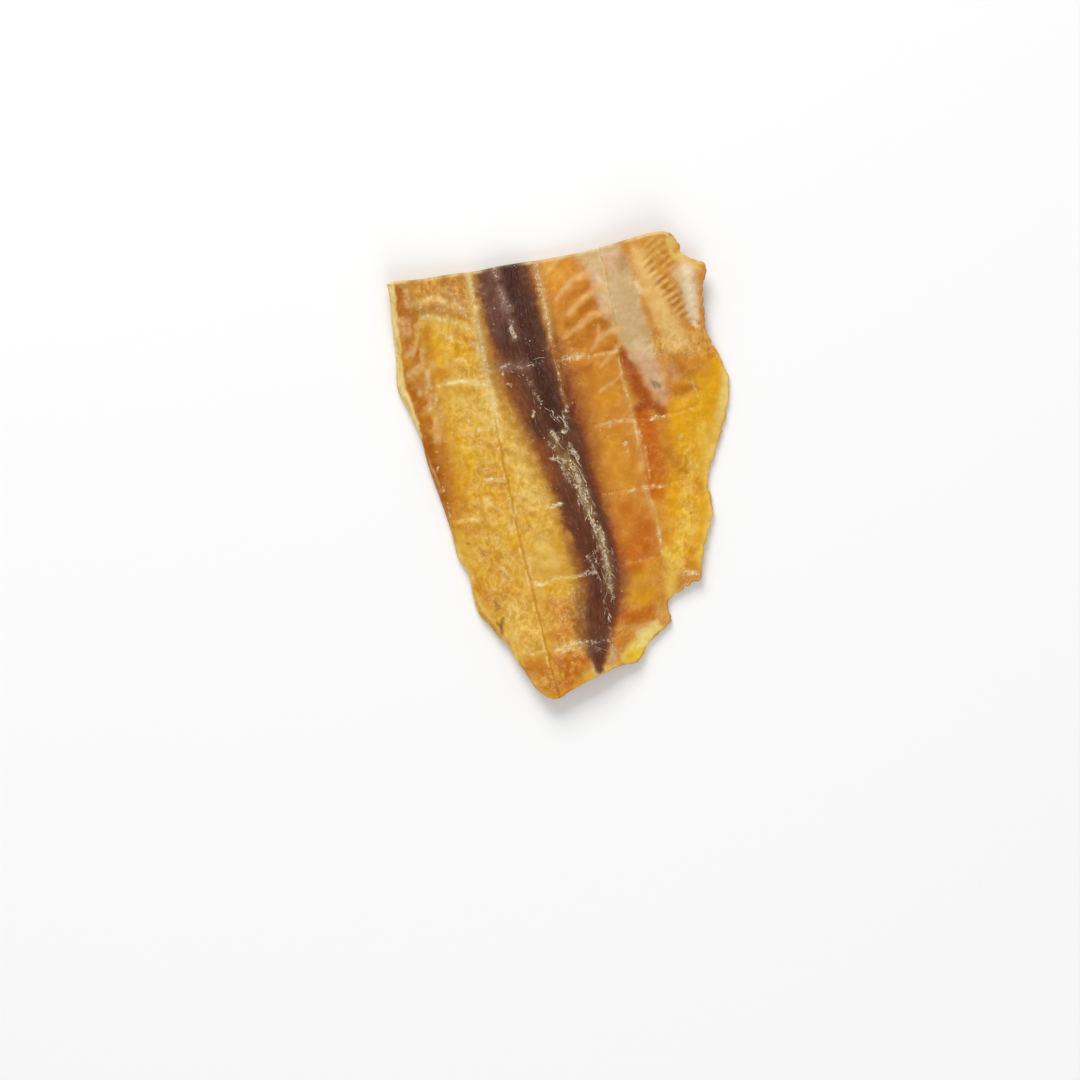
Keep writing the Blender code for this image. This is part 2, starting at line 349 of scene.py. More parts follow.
def grid_border(grid):
    """The points round a grid, counter-clockwise from its first."""
    return np.concatenate([grid[0], grid[1:-1, -1], grid[-1][::-1], grid[1:-1, 0][::-1]])


def wall_row(edge_height, reach, share):
    """One row of the wall, share of the way from the widest line to an edge that lies reach inside."""
    height = belly[:, 2] + share * (edge_height - belly[:, 2])
    inset = reach * (1 - (1 - share**square) ** (1 / square))
    layers = ramp(lumps(np.stack([around / LAYER_STRETCH, height], axis=1), LAYER, 11), -0.2, 0.9)
    inset = inset + ledge * layers * (1 - share**6)
    return np.column_stack([belly[:, :2] + into * inset[:, None], height])


print("wall rows:", len(UPPER_SHARES) + len(LOWER_SHARES))

# %% [markdown]
# ## Where things lie on the fish
#
# Most of what shows runs with the fish and not with the ruler. The dark muscle band is the
# fish's own middle line, so each point gets two fish coordinates from it: how far across, and how
# far along. The other measure is the drying rack. The piece dried on a square mesh of wires, and
# each wire left a straight mark. The lengthwise wires are counted from left to right and the
# crosswise ones from the head, so that one number tells between which wires a point lies.

# %% Measure in the photograph, along the fish and along the rack
# All lines are in pixels of the photograph.
BAND_LINE = (
    (500, 200), (503, 265), (512, 320), (526, 380), (545, 420), (562, 455), (577, 500),
    (592, 545), (600, 580), (602, 620), (600, 668), (598, 720),
)
LONG_WIRES = (
    ((460, 240), (470, 290), (486, 360), (493, 400), (497, 430), (503, 460), (512, 500),
     (521, 545), (529, 575), (541, 625), (551, 665), (560, 700)),
    ((531, 240), (541, 285), (549, 335), (560, 385), (565, 405), (585, 490), (622, 680)),
    ((598, 240), (605, 270), (614, 315), (622, 355), (630, 405), (641, 450), (648, 487),
     (655, 510), (663, 555), (690, 690)),
    ((665, 240), (690, 375), (697, 390), (704, 430), (730, 560), (757, 690)),
)
CROSS_WIRES = (
    ((380, 392), (445, 384), (500, 368), (545, 362), (580, 357), (620, 350), (740, 326)),
    ((380, 470), (462, 446), (495, 442), (530, 439), (600, 425), (625, 420), (655, 418), (740, 396)),
    ((380, 540), (455, 521), (490, 515), (520, 508), (562, 503), (598, 495), (632, 490),
     (650, 486), (680, 481), (740, 470)),
    ((380, 624), (500, 592), (535, 583), (570, 577), (593, 573), (650, 558), (740, 536)),
    ((380, 690), (500, 655), (545, 651), (585, 645), (608, 640), (640, 625), (740, 600)),
)


def in_photo(places):
    """The pixel of the photograph at which each place shows."""
    return MIDDLE_PIXEL + places[:, :2] * (PIXELS_PER_MM, -PIXELS_PER_MM)


def fish_coordinates(places):
    """Millimetres across from the middle of the dark band, right positive, and along from the head."""
    line = (np.array(BAND_LINE, float) - MIDDLE_PIXEL) / (PIXELS_PER_MM, -PIXELS_PER_MM)
    start, step = line[:-1], np.diff(line, axis=0)
    length = np.linalg.norm(step, axis=1)
    reached = np.concatenate([[0], np.cumsum(length)])
    gap = places[:, None, :2] - start
    share = (gap * step).sum(2) / length**2
    share[:, 1:] = np.maximum(share[:, 1:], 0)
    share[:, :-1] = np.minimum(share[:, :-1], 1)
    away = gap - share[:, :, None] * step
    best = np.linalg.norm(away, axis=2).argmin(1)
    rows = np.arange(len(places))
    side = away[rows, best, 1] * step[best, 0] - away[rows, best, 0] * step[best, 1]
    across = side / length[best]
    return across, reached[best] + share[rows, best] * length[best]


def wire_number(spots, wires, crosswise):
    """How many wires lie before each spot, as a number that runs smoothly from wire to wire."""
    run, place = (0, 1) if crosswise else (1, 0)
    lines = [np.interp(spots[:, run], *np.array(w, float)[:, [run, place]].T) for w in wires]
    number = np.zeros(len(spots))
    for k in range(len(wires) - 1):
        share = (spots[:, place] - lines[k]) / (lines[k + 1] - lines[k])
        low = -np.inf if k == 0 else 0.0
        high = np.inf if k == len(wires) - 2 else 1.0
        here = (share >= low) & (share < high)
        number[here] = k + share[here]
    return number


LONG_PITCH, CROSS_PITCH = 15.2, 15.75  # mm between wires
tips = (np.array([(466, 272), (562, 503)]) - MIDDLE_PIXEL) / (PIXELS_PER_MM, -PIXELS_PER_MM)
print("fish coordinates of two marks:", [np.round(c, 1).tolist() for c in fish_coordinates(tips)])

# %% [markdown]
# ## Strokes
#
# A stain, a rubbed mark or a blister has a place, a reach and a soft rim, so all of them are
# drawn with one tool: a stroke through a few points, each with its own reach. The strokes are
# drawn on spots that are first pushed about by noise, so that no rim comes out smooth.

# %% Draw a soft stroke
def stroke(spots, path, fade=1.0):
    """How strongly a stroke covers each spot, from 0 to 1. It fades over that share of its reach."""
    closest = np.zeros(len(spots))
    pairs = zip(path[:-1], path[1:]) if len(path) > 1 else [(path[0], path[0])]
    for (x, y, reach), (far_x, far_y, far_reach) in pairs:
        step = np.array([far_x - x, far_y - y], float)
        share = np.clip((spots - (x, y)) @ step / max(step @ step, 1e-9), 0, 1)
        away = np.hypot(*(spots - (x, y) - share[:, None] * step).T)
        closest = np.maximum(closest, 1 - away / (reach + share * (far_reach - reach)))
    return ramp(closest, 0.0, fade)


def strokes(spots, paths, fade=1.0):
    """The strongest of several strokes at each spot."""
    return np.max([stroke(spots, path, fade) for path in paths], axis=0)


def stirred(spots, reach, size, seed):
    """Spots pushed about by noise, in pixels."""
    push = np.column_stack([crumple(spots, size, 3, seed), crumple(spots, size, 3, seed + 9)])
    return spots + reach * push


print("a stroke's cover at its middle, half way and rim:",
      stroke(np.array([(0, 0), (5, 0), (10, 0)]), ((0, 0, 10),)).round(2).tolist())

# %% [markdown]
# ## Relief
#
# The relief has six sources, which are added up in millimetres of height. The rack's wires
# pressed shallow grooves with raised lips. The muscle segments end in low ridges, which run away
# from the dark band towards the head. The dark band is a bundle of strands. The whole face
# shrank into fine crimps, and long creases cross it. Blisters, bars and a comb of small ridges
# stand up in a few places.

# %% Press in the wires
PRESSED = (  # how deep, and a stroke through (x, y, reach), in pixels of the photograph
    (0.60, ((497, 425, 10), (512, 500, 20), (529, 575, 18), (540, 620, 12), (558, 695, 16))),
    (0.35, ((601, 248, 9), (606, 276, 9), (616, 320, 7))),
)
RUBBED = (
    ((466, 270, 12), (481, 335, 12), (493, 400, 12)), ((535, 258, 12), (549, 335, 12), (566, 408, 10)),
    ((620, 360, 10), (634, 420, 12), (648, 487, 10), (663, 558, 10)), ((690, 370, 10), (704, 440, 10)),
    ((447, 384, 10), (497, 380, 10)), ((500, 368, 10), (584, 356, 12)), ((596, 354, 8), (619, 350, 8)),
    ((596, 426, 8), (664, 416, 9), (702, 404, 9)), ((453, 522, 9), (480, 518, 9)),
    ((510, 508, 8), (562, 503, 10)), ((603, 495, 8), (690, 480, 8)), ((531, 584, 9), (597, 572, 9)),
    ((612, 566, 8), (665, 553, 8)), ((524, 652, 8), (609, 640, 10)), ((613, 633, 6), (643, 624, 7)),
)
ANYWHERE, WHERE_RUBBED, WHERE_PRESSED = 0.03, 0.12, 0.17  # mm deep
GROOVE, LIP_AWAY, LIP = 0.36, 0.85, 0.42  # mm: a groove's half width, its lips' distance and half width


def weighed(spots, entries, fade=1.0):
    """The strongest of several strokes at each spot, each times its own strength."""
    return np.max([strength * stroke(spots, path, fade) for strength, path in entries], axis=0)


def from_wire(number, pitch):
    """Millimetres to the nearest wire, with a sign."""
    return (number - np.round(number)) * pitch


def wire_relief(spots, long_number, cross_number):
    """Grooves where the wires lay, with a raised lip on each side."""
    everywhere = ANYWHERE + WHERE_RUBBED * strokes(spots, RUBBED)
    height = np.zeros(len(spots))
    for gap, force in (
        (from_wire(long_number, LONG_PITCH), everywhere + WHERE_PRESSED * weighed(spots, PRESSED)),
        (from_wire(cross_number, CROSS_PITCH), everywhere),
    ):
        gap = np.abs(gap + 0.22 * lumps(spots, 12.0, 21))
        height -= force * np.exp(-((gap / GROOVE) ** 2))
        height += 0.5 * force * np.exp(-(((gap - LIP_AWAY) / LIP) ** 2))
    return height


print("strokes for the wires:", len(PRESSED) + len(RUBBED))

# %% Ridge the muscle segments and strand the band
SEGMENT = 5.3  # mm between the muscle segments
SEGMENT_SLOPE = 0.95  # mm towards the head for each mm away from the band
FOLD = 17.0  # mm from the band at which the segments turn back
TURNED_BACK = 0.8  # how steep they are beyond the fold, as a share of the slope before it
SEGMENT_HEIGHT = 0.06  # mm
STRANDS, FINE_STRANDS, SUNK = 0.10, 0.06, 0.10  # mm, the last is how deep the whole band lies


def segment_number(across, along):
    """Counts the muscle segments from the head, along their chevron-shaped walls."""
    reach = np.abs(across)
    raised = np.minimum(reach, FOLD) - TURNED_BACK * np.maximum(reach - FOLD, 0)
    return (along + SEGMENT_SLOPE * raised) / SEGMENT


def segment_relief(across, along):
    """Low ridges on the segment walls, absent in the band and strong half way out."""
    wave = np.cos(2 * np.pi * segment_number(across, along))
    return SEGMENT_HEIGHT * ramp(np.abs(across), 4.0, 9.0) * np.sign(wave) * np.abs(wave) ** 1.5


def strand_relief(across, along, in_band):
    """Strands that run along the dark band."""
    crooked = across + 0.5 * lumps(np.column_stack([across, along]), 5.0, 31)
    fine = lumps(np.column_stack([crooked / 0.55, along / 5.0]), 1.0, 32)
    finer = lumps(np.column_stack([crooked / 0.3, along / 2.2]), 1.0, 33)
    return in_band * (STRANDS * fine + FINE_STRANDS * finer - SUNK)


print("segment walls along the piece:", round(100 / SEGMENT))

# %% Crimp the face
CALM, GLASSY = 0.35, 0.10  # how crimped the face is away from the crimped places
CRIMPED = (
    ((430, 290, 34), (466, 300, 30)), ((450, 330, 26), (480, 390, 36), (505, 450, 34), (530, 520, 44)),
    ((470, 410, 40), (480, 470, 24), (490, 520, 44), (500, 580, 46), (530, 630, 32)),
    ((655, 348, 20), (700, 345, 20)), ((690, 450, 18), (690, 500, 17), (680, 560, 22)),
    ((565, 600, 34), (570, 650, 26)), ((545, 682, 16), (572, 668, 20)),
)
GLASS = (
    ((604, 250, 22), (616, 290, 26), (634, 330, 24), (652, 372, 16)), ((640, 260, 12), (660, 310, 14)),
    ((560, 265, 20), (590, 320, 26), (600, 380, 34), (615, 450, 34), (628, 520, 34), (640, 590, 28)),
    ((715, 380, 20), (700, 440, 14)),
)


def how_crimped(spots):
    """1 where the face is all crimps, near 0 where it dried as smooth as glass."""
    calm = CALM + (GLASSY - CALM) * strokes(spots, GLASS)
    return calm + (1 - calm) * strokes(spots, CRIMPED)


def crest(places, size, seed):
    """Noise with narrow crests and wide hollows, from about -1.5 to 1."""
    return 1 - 3.2 * np.abs(lumps(places, size, seed))


def crimps(places, across, along):
    """Fine creases with and across the grain of the flesh, from about -1 to 1."""
    a = across + 0.9 * lumps(places, 3.5, 34)
    b = along + 0.9 * lumps(places, 3.5, 35)
    with_grain = crest(np.column_stack([(a + 0.25 * b) / 1.3, (b - 0.25 * a) / 3.4]), 1.0, 36)
    against = crest(np.column_stack([(b + 0.9 * np.abs(a)) / 1.8, a / 3.2]), 1.0, 37)
    return 0.6 * with_grain + 0.5 * against + 0.35 * lumps(places, 1.1, 38)


test = crimps(top_grid.reshape(-1, 2), *fish_coordinates(top_grid.reshape(-1, 2)))
print("crimps: mean", round(test.mean(), 2), "spread", round(test.std(), 2))

# %% Crease it
CREASES = (
    ((418, 309, 3), (424, 302, 4), (433, 297, 4), (440, 298, 3), (444, 303, 3)),
    ((421, 319, 3), (427, 316, 4), (436, 319, 3), (447, 321, 4), (458, 323, 4), (468, 329, 4),
     (476, 336, 4)),
    ((448, 337, 3), (455, 341, 4), (461, 347, 3)),
    ((455, 303, 4), (462, 309, 4), (467, 317, 3), (474, 321, 3)),
    ((469, 272, 4), (473, 290, 5), (476, 312, 4), (480, 335, 5), (484, 360, 5), (489, 384, 5),
     (494, 402, 4)),
    ((494, 402, 4), (500, 432, 3), (507, 462, 3)), ((470, 343, 4), (476, 345, 5), (481, 352, 5)),
    ((431, 388, 3), (441, 385, 3)), ((447, 384, 4), (456, 383, 5), (464, 381, 4), (476, 379, 4)),
    ((478, 381, 4), (484, 386, 5), (492, 385, 4)), ((452, 362, 3), (460, 358, 3), (468, 364, 3)),
    ((436, 394, 3), (435, 404, 3), (428, 410, 3)), ((427, 372, 3), (429, 384, 3), (426, 392, 3)),
    ((398, 321, 3), (402, 318, 3), (409, 321, 3)),
    ((456, 446, 3), (468, 448, 3), (481, 446, 3), (495, 443, 3)),
    ((468, 420, 3), (479, 431, 3), (489, 428, 3)), ((484, 480, 3), (495, 479, 4), (505, 482, 3)),
    ((486, 498, 3), (496, 508, 3), (507, 518, 3), (513, 534, 3)),
    ((458, 522, 3), (470, 519, 3), (480, 521, 3)),
    ((514, 508, 3), (519, 530, 3), (526, 556, 3), (532, 578, 3)),
    ((500, 566, 3), (506, 573, 3), (510, 580, 3)),
    ((532, 582, 4), (541, 585, 5), (555, 578, 4), (575, 576, 4), (590, 573, 4)),
    ((524, 652, 3), (533, 655, 3), (545, 651, 3)),
    ((556, 651, 4), (566, 645, 5), (585, 641, 4), (607, 640, 3)),
    ((562, 652, 3), (580, 647, 3)), ((618, 357, 2), (622, 375, 2), (628, 400, 2)),
    ((634, 420, 3), (639, 445, 3)),
    ((645, 446, 2), (650, 478, 2)), ((658, 528, 3), (663, 556, 2)),
    ((597, 426, 3), (615, 421, 3), (632, 420, 4)),
    ((536, 262, 4), (541, 285, 5), (546, 315, 5), (551, 340, 4)),
    ((556, 360, 3), (560, 380, 3), (565, 404, 3)),
    ((601, 250, 3), (606, 280, 2), (614, 312, 3)), ((568, 356, 4), (583, 355, 4)),
    ((596, 355, 3), (618, 351, 3)),
    ((597, 575, 2), (604, 598, 2), (609, 620, 2), (612, 642, 2)), ((606, 575, 3), (612, 600, 3)),
    ((692, 380, 2), (698, 396, 2)), ((644, 486, 4), (663, 486, 3)),
)


def creased(spots):
    """1 on the crest of a long, broken crease, 0 away from the creases."""
    unbroken = ramp(lumps(spots, 5.0, 58), -0.7, 0.2)
    return strokes(stirred(spots, 1.8, 6.0, 57), CREASES) * unbroken


print("creases:", len(CREASES))

# %% Raise the blisters, bars and the comb
BLISTERS = (
    ((403, 324, 10), (407, 333, 9)), ((414, 345, 6), (409, 355, 7)), ((418, 368, 7), (411, 375, 9)),
    ((417, 325, 5), (417, 342, 5)), ((422, 350, 4), (422, 368, 4)), ((427, 372, 6), (427, 388, 5)),
    ((433, 365, 6),), ((419, 393, 5),), ((431, 396, 5), (428, 410, 6)), ((406, 292, 5), (408, 305, 5)),
    ((436, 420, 6), (438, 442, 5)), ((440, 410, 6), (443, 418, 6)),
)
PALE_BARS = (
    ((546, 274, 3), (553, 265, 4), (562, 254, 5)),
    ((556, 300, 3), (563, 290, 5), (573, 280, 5), (586, 274, 7)),
    ((568, 315, 4), (575, 306, 5), (583, 298, 5), (592, 292, 5), (600, 288, 8)),
    ((564, 338, 3), (575, 330, 5), (585, 321, 5), (592, 315, 5), (608, 312, 7)),
    ((592, 351, 3), (597, 342, 4), (602, 335, 5), (610, 332, 5), (622, 329, 7)),
    ((600, 367, 3), (607, 360, 4), (618, 347, 4)),
    ((600, 391, 3), (608, 386, 3), (615, 381, 3), (622, 373, 3)), ((598, 326, 3), (599, 340, 3)),
)
COMB = ((655, 250, 18), (664, 262, 17))
TEETH = ((648, 264, 9), (659, 280, 11), (668, 292, 12), (676, 303, 11), (685, 316, 10))
FAINT_TEETH = ((682, 270, 12), (690, 290, 12), (696, 312, 10))
COMB_PITCH = 6.8  # pixels
COMB_WAY = np.array([0.62, 0.78])  # across its ridges
CRIMP_HEIGHT, SWELL_HEIGHT, LUMP_HEIGHT = 0.07, 0.10, 0.05  # mm
BLISTER_HEIGHT, BAR_HEIGHT, CREASE_HEIGHT, COMB_HEIGHT = 0.14, 0.07, 0.05, 0.10  # mm


def comb_teeth(spots):
    """1 on the fine ridges in the upper right corner, -1 between them."""
    return np.cos(2 * np.pi * (spots @ COMB_WAY + 1.3 * lumps(spots, 20.0, 41)) / COMB_PITCH)


def comb_show(spots):
    """How strongly the comb shows: most along the edge of the pale skin, and least on that skin."""
    patchy = ramp(lumps(spots, 9.0, 42), -0.8, 0.1)
    strong = np.maximum(0.6 * stroke(spots, COMB, 0.8), stroke(spots, TEETH, 0.8))
    return np.maximum(strong, 0.2 * stroke(spots, FAINT_TEETH)) * patchy


def face_relief(spots, places, across, along):
    """The crimps and creases of the dried face, its swells, blisters and pale bars, and the comb."""
    face = CRIMP_HEIGHT * how_crimped(spots) * crimps(places, across, along)
    face += SWELL_HEIGHT * lumps(spots, 26.0, 53) + LUMP_HEIGHT * crumple(spots, 9.0, 2, 54)
    face += BLISTER_HEIGHT * strokes(stirred(spots, 2.5, 9.0, 55), BLISTERS)
    face += BAR_HEIGHT * strokes(stirred(spots, 1.5, 7.0, 56), PALE_BARS)
    face += CREASE_HEIGHT * creased(spots)
    return face + COMB_HEIGHT * comb_show(spots) * comb_teeth(spots)


print("blisters:", len(BLISTERS), "pale bars:", len(PALE_BARS))

# %% Press the relief into the top
BAND = (  # to the outer rim of its brown margins
    (500, 235, 33), (502, 265, 32), (505, 282, 33), (509, 300, 34), (514, 320, 34), (520, 342, 35),
    (525, 360, 38), (534, 380, 40), (544, 400, 40), (552, 420, 38), (560, 440, 35), (566, 460, 33),
    (573, 480, 30), (580, 500, 28), (587, 520, 28), (594, 540, 27), (600, 560, 25), (603, 580, 23),
    (602, 600, 25), (601, 620, 24), (599, 640, 20), (599, 652, 16), (599, 661, 11), (600, 669, 7),
)
CLEAR_OF_TOP = 0.02  # mm that the flesh stays under the solid's highest point
UNDER_LUMPS = 0.12  # mm


def top_relief(places):
    """Everything that rises or sinks on the top face, in millimetres."""
    spots = in_photo(places)
    across, along = fish_coordinates(places)
    long_number = wire_number(spots, LONG_WIRES, False)
    cross_number = wire_number(spots, CROSS_WIRES, True)
    height = wire_relief(spots, long_number, cross_number)
    height += segment_relief(across, along) + strand_relief(across, along, stroke(spots, BAND))
    return height + face_relief(spots, places, across, along)


flat_top = top_grid.reshape(-1, 2)
relief = top_relief(flat_top).reshape(top_heights.shape)
top_heights = np.minimum(top_heights + relief, cad_box[1].z / MM - CLEAR_OF_TOP)
flat_under = under_grid.reshape(-1, 2)
under_relief = UNDER_LUMPS * (1 + crumple(flat_under, 4.0, 3, 61))
under_relief *= ramp(lumps(flat_under, 9.0, 62), -0.5, 0.5)
under_heights = under_heights + under_relief.reshape(under_heights.shape)
print("relief from", round(relief.min(), 2), "to", round(relief.max(), 2), "mm")

# %% [markdown]
# ## One closed mesh
#
# The top grid, the rows of the wall and the coarser underside are stitched into one closed mesh.
# It has to be closed, because light that enters it is scattered inside and comes out elsewhere.
# The underside has half as many points round its rim, so the last row of the wall is joined to
# it by triangles.

# %% Stitch the surface
def mesh_from(name, points, faces):
    """A new smooth mesh object from points in millimetres."""
    mesh = bpy.data.meshes.new(name)
    mesh.from_pydata((np.asarray(points) * MM).tolist(), [], faces)
    mesh.validate()
    mesh.shade_smooth()
    made = bpy.data.objects.new(name, mesh)
    bpy.context.scene.collection.objects.link(made)
    return made


def quads(upper, lower):
    """Faces between two rows of point numbers, looking out when upper is above lower."""
    return np.stack([lower[:-1], lower[1:], upper[1:], upper[:-1]], axis=1).tolist()


top_number = np.arange(top_heights.size).reshape(top_heights.shape)
top_edge = grid_border(top_heights[:, :, None])[:, 0]
under_edge = np.repeat(grid_border(under_heights[:, :, None])[:, 0], 2)
under_edge = 0.5 * (under_edge + np.roll(under_edge, -1))
rows = [wall_row(top_edge, bevel, share) for share in UPPER_SHARES]
rows += [wall_row(under_edge, UNDER_BEVEL, share) for share in LOWER_SHARES]
ring_size = len(belly)
first_wall = top_number.size
first_under = first_wall + ring_size * len(rows)
under_number = first_under + np.arange(under_heights.size).reshape(under_heights.shape)

all_points = np.vstack([
    np.column_stack([flat_top, top_heights.ravel()]),
    *rows,
    np.column_stack([flat_under, under_heights.ravel()]),
])
faces = [face for a, b in zip(top_number[1:], top_number[:-1]) for face in quads(a, b)]
rings = [grid_border(top_number)]
rings += [first_wall + k * ring_size + np.arange(ring_size) for k in range(len(rows))]
for upper, lower in zip(rings[:-1], rings[1:]):
    faces += quads(np.append(upper, upper[0]), np.append(lower, lower[0]))
rim = grid_border(under_number)
for k, (near, far) in enumerate(zip(rim.tolist(), np.roll(rim, -1).tolist())):
    a, b, c = (int(rings[-1][(2 * k + step) % ring_size]) for step in range(3))
    faces += [(a, near, b), (near, far, b), (b, far, c)]
faces += [face[::-1] for a, b in zip(under_number[1:], under_number[:-1]) for face in quads(a, b)]

flesh = mesh_from("dried_cod_flesh", all_points, faces)
triangle_count = sum(len(face) - 2 for face in faces)
print("points:", len(all_points), "triangles:", triangle_count)

# %% [markdown]
# ## Stains
#
# The colour of dried flesh follows its thickness and its fat. Thick lean muscle is deep orange,
# thin flesh is lemon yellow and almost clear at its rim, fat and connective tissue are beige,
# and the dark muscle is nearly black in its core and rusty at its sides. These fields are soft,
# so they are painted on the points of the mesh, as strokes of named colours. All that is finer
# than half a millimetre is left to the material.

# %% Name the colours
def linear(code):
    """The linear red, green and blue of a six-digit colour code."""
    values = np.array([int(code[k : k + 2], 16) for k in (0, 2, 4)]) / 255
    return np.where(values <= 0.04045, values / 12.92, ((values + 0.055) / 1.055) ** 2.4)


GOLD = linear("d6a43a")
BRIGHT_GOLD = linear("dca51e")
PALE_GOLD = linear("e3c06a")
STRAW = linear("dfc280")
SUNNY = linear("e6be4a")
TAN = linear("cf9a48")
TAN_ROSE = linear("cb9862")
HONEY = linear("aa7429")
TOFFEE = linear("b46a18")
AMBER = linear("ca8620")
DEEP_AMBER = linear("b3690b")
BROWN_AMBER = linear("a65c0c")
ORANGE = linear("cd8730")
BURNT_ORANGE = linear("c0640c")
RUDDY = linear("a04c10")
BEIGE = linear("cdae80")
PINK_BEIGE = linear("d2aa88")
APRICOT = linear("e4ba72")
YELLOW = linear("e2a408")
LEMON = linear("e4bc1c")
BUTTER = linear("f2d87c")
PALE_YELLOW = linear("e6c872")
RIM_YELLOW = linear("e8d08c")
CREAM = linear("ead8a4")
WHITISH = linear("ebdabc")
CORE = linear("46271f")
WINE = linear("66351e")
PURPLE_BROWN = linear("6e463b")
TISSUE = linear("a88650")
BROWN = linear("603a28")
RUST = linear("8e4b20")
EDGE_BROWN = linear("9a642e")
OLIVE = linear("8e8562")
VEIN = linear("b4948a")
SOOT = linear("6e4e1e")
print("named colours: 35")

# %% Paint the flesh left of the dark band
# Each entry is a colour, how strong it is, over which share of its reach it fades, and a stroke.
UPPER_LEFT = (
    (HONEY, 0.90, 0.8, ((395, 300, 30), (430, 292, 34), (468, 286, 26))),
    (HONEY, 0.65, 0.9, ((424, 312, 14), (448, 312, 14), (470, 318, 11))),
    (TAN_ROSE, 0.42, 1.0, ((410, 292, 22), (440, 296, 24), (466, 306, 16))),
    (AMBER, 0.55, 0.9, ((418, 292, 12), (438, 286, 12), (428, 304, 9))),
    (AMBER, 0.60, 0.9, ((452, 280, 9), (458, 292, 9))),
    (AMBER, 0.60, 0.8, ((462, 318, 5), (472, 324, 5))),
    (AMBER, 0.60, 0.8, ((452, 333, 5), (476, 342, 5))),
    (PALE_GOLD, 0.38, 0.9, ((418, 303, 5), (430, 298, 5), (444, 301, 6), (456, 309, 6))),
    (PALE_GOLD, 0.45, 0.9, ((422, 317, 5), (444, 320, 6), (462, 325, 7), (478, 336, 7))),
    (STRAW, 0.70, 0.9, ((466, 268, 7), (474, 300, 7), (479, 335, 8), (484, 365, 9), (490, 395, 10),
                        (499, 428, 9))),
    (BRIGHT_GOLD, 0.90, 0.9, ((436, 345, 9), (455, 350, 15), (466, 360, 13))),
    (BRIGHT_GOLD, 0.70, 0.9, ((432, 332, 8), (438, 352, 9), (440, 368, 8))),
    (AMBER, 0.85, 0.8, ((436, 374, 9), (445, 374, 8))),
    (GOLD, 0.60, 0.9, ((450, 366, 10), (470, 372, 10))),
    (PALE_GOLD, 0.80, 0.8, ((448, 382, 6), (467, 382, 6), (486, 385, 7))),
    (PALE_GOLD, 0.45, 1.0, ((455, 400, 14), (478, 408, 18), (494, 430, 16))),
    (BRIGHT_GOLD, 0.55, 0.9, ((448, 405, 10), (458, 422, 12), (476, 425, 10))),
)
LEFT_STRIP = (
    (TOFFEE, 0.92, 0.6, ((398, 296, 14), (406, 330, 17), (412, 365, 20), (424, 400, 20))),
    (AMBER, 0.90, 0.9, ((430, 420, 22), (440, 455, 24), (450, 490, 22), (458, 520, 12))),
    (TAN, 0.45, 0.9, ((420, 372, 14), (430, 395, 12), (436, 425, 10), (440, 450, 8))),
    (DEEP_AMBER, 0.55, 0.9, ((416, 312, 5), (413, 334, 5))),
    (DEEP_AMBER, 0.55, 0.9, ((426, 330, 8), (430, 356, 8))),
    (DEEP_AMBER, 0.80, 0.9, ((400, 312, 7), (404, 314, 5))),
    (AMBER, 0.95, 0.7, ((401, 338, 4), (402, 352, 5), (408, 363, 6))),
    (DEEP_AMBER, 0.60, 0.9, ((414, 358, 5), (418, 350, 4))),
    (DEEP_AMBER, 0.80, 0.9, ((408, 383, 6), (414, 396, 8), (420, 404, 7))),
    (DEEP_AMBER, 0.95, 0.7, ((421, 400, 6), (423, 403, 5))),
    (BROWN_AMBER, 0.80, 0.9, ((417, 410, 6), (422, 428, 7), (430, 446, 9))),
    (DEEP_AMBER, 0.95, 0.7, ((428, 420, 7), (429, 425, 6))),
    (BROWN_AMBER, 0.97, 0.9, ((426, 440, 13), (434, 466, 13), (443, 492, 11), (449, 512, 6))),
    (DEEP_AMBER, 0.60, 1.0, ((440, 445, 10), (446, 480, 10), (452, 500, 10))),
    (RIM_YELLOW, 0.95, 0.30, ((386, 284, 9), (390, 305, 7), (393, 335, 7), (395, 362, 8), (396, 382, 9),
                               (404, 403, 8), (413, 424, 7), (419, 441, 4))),
)
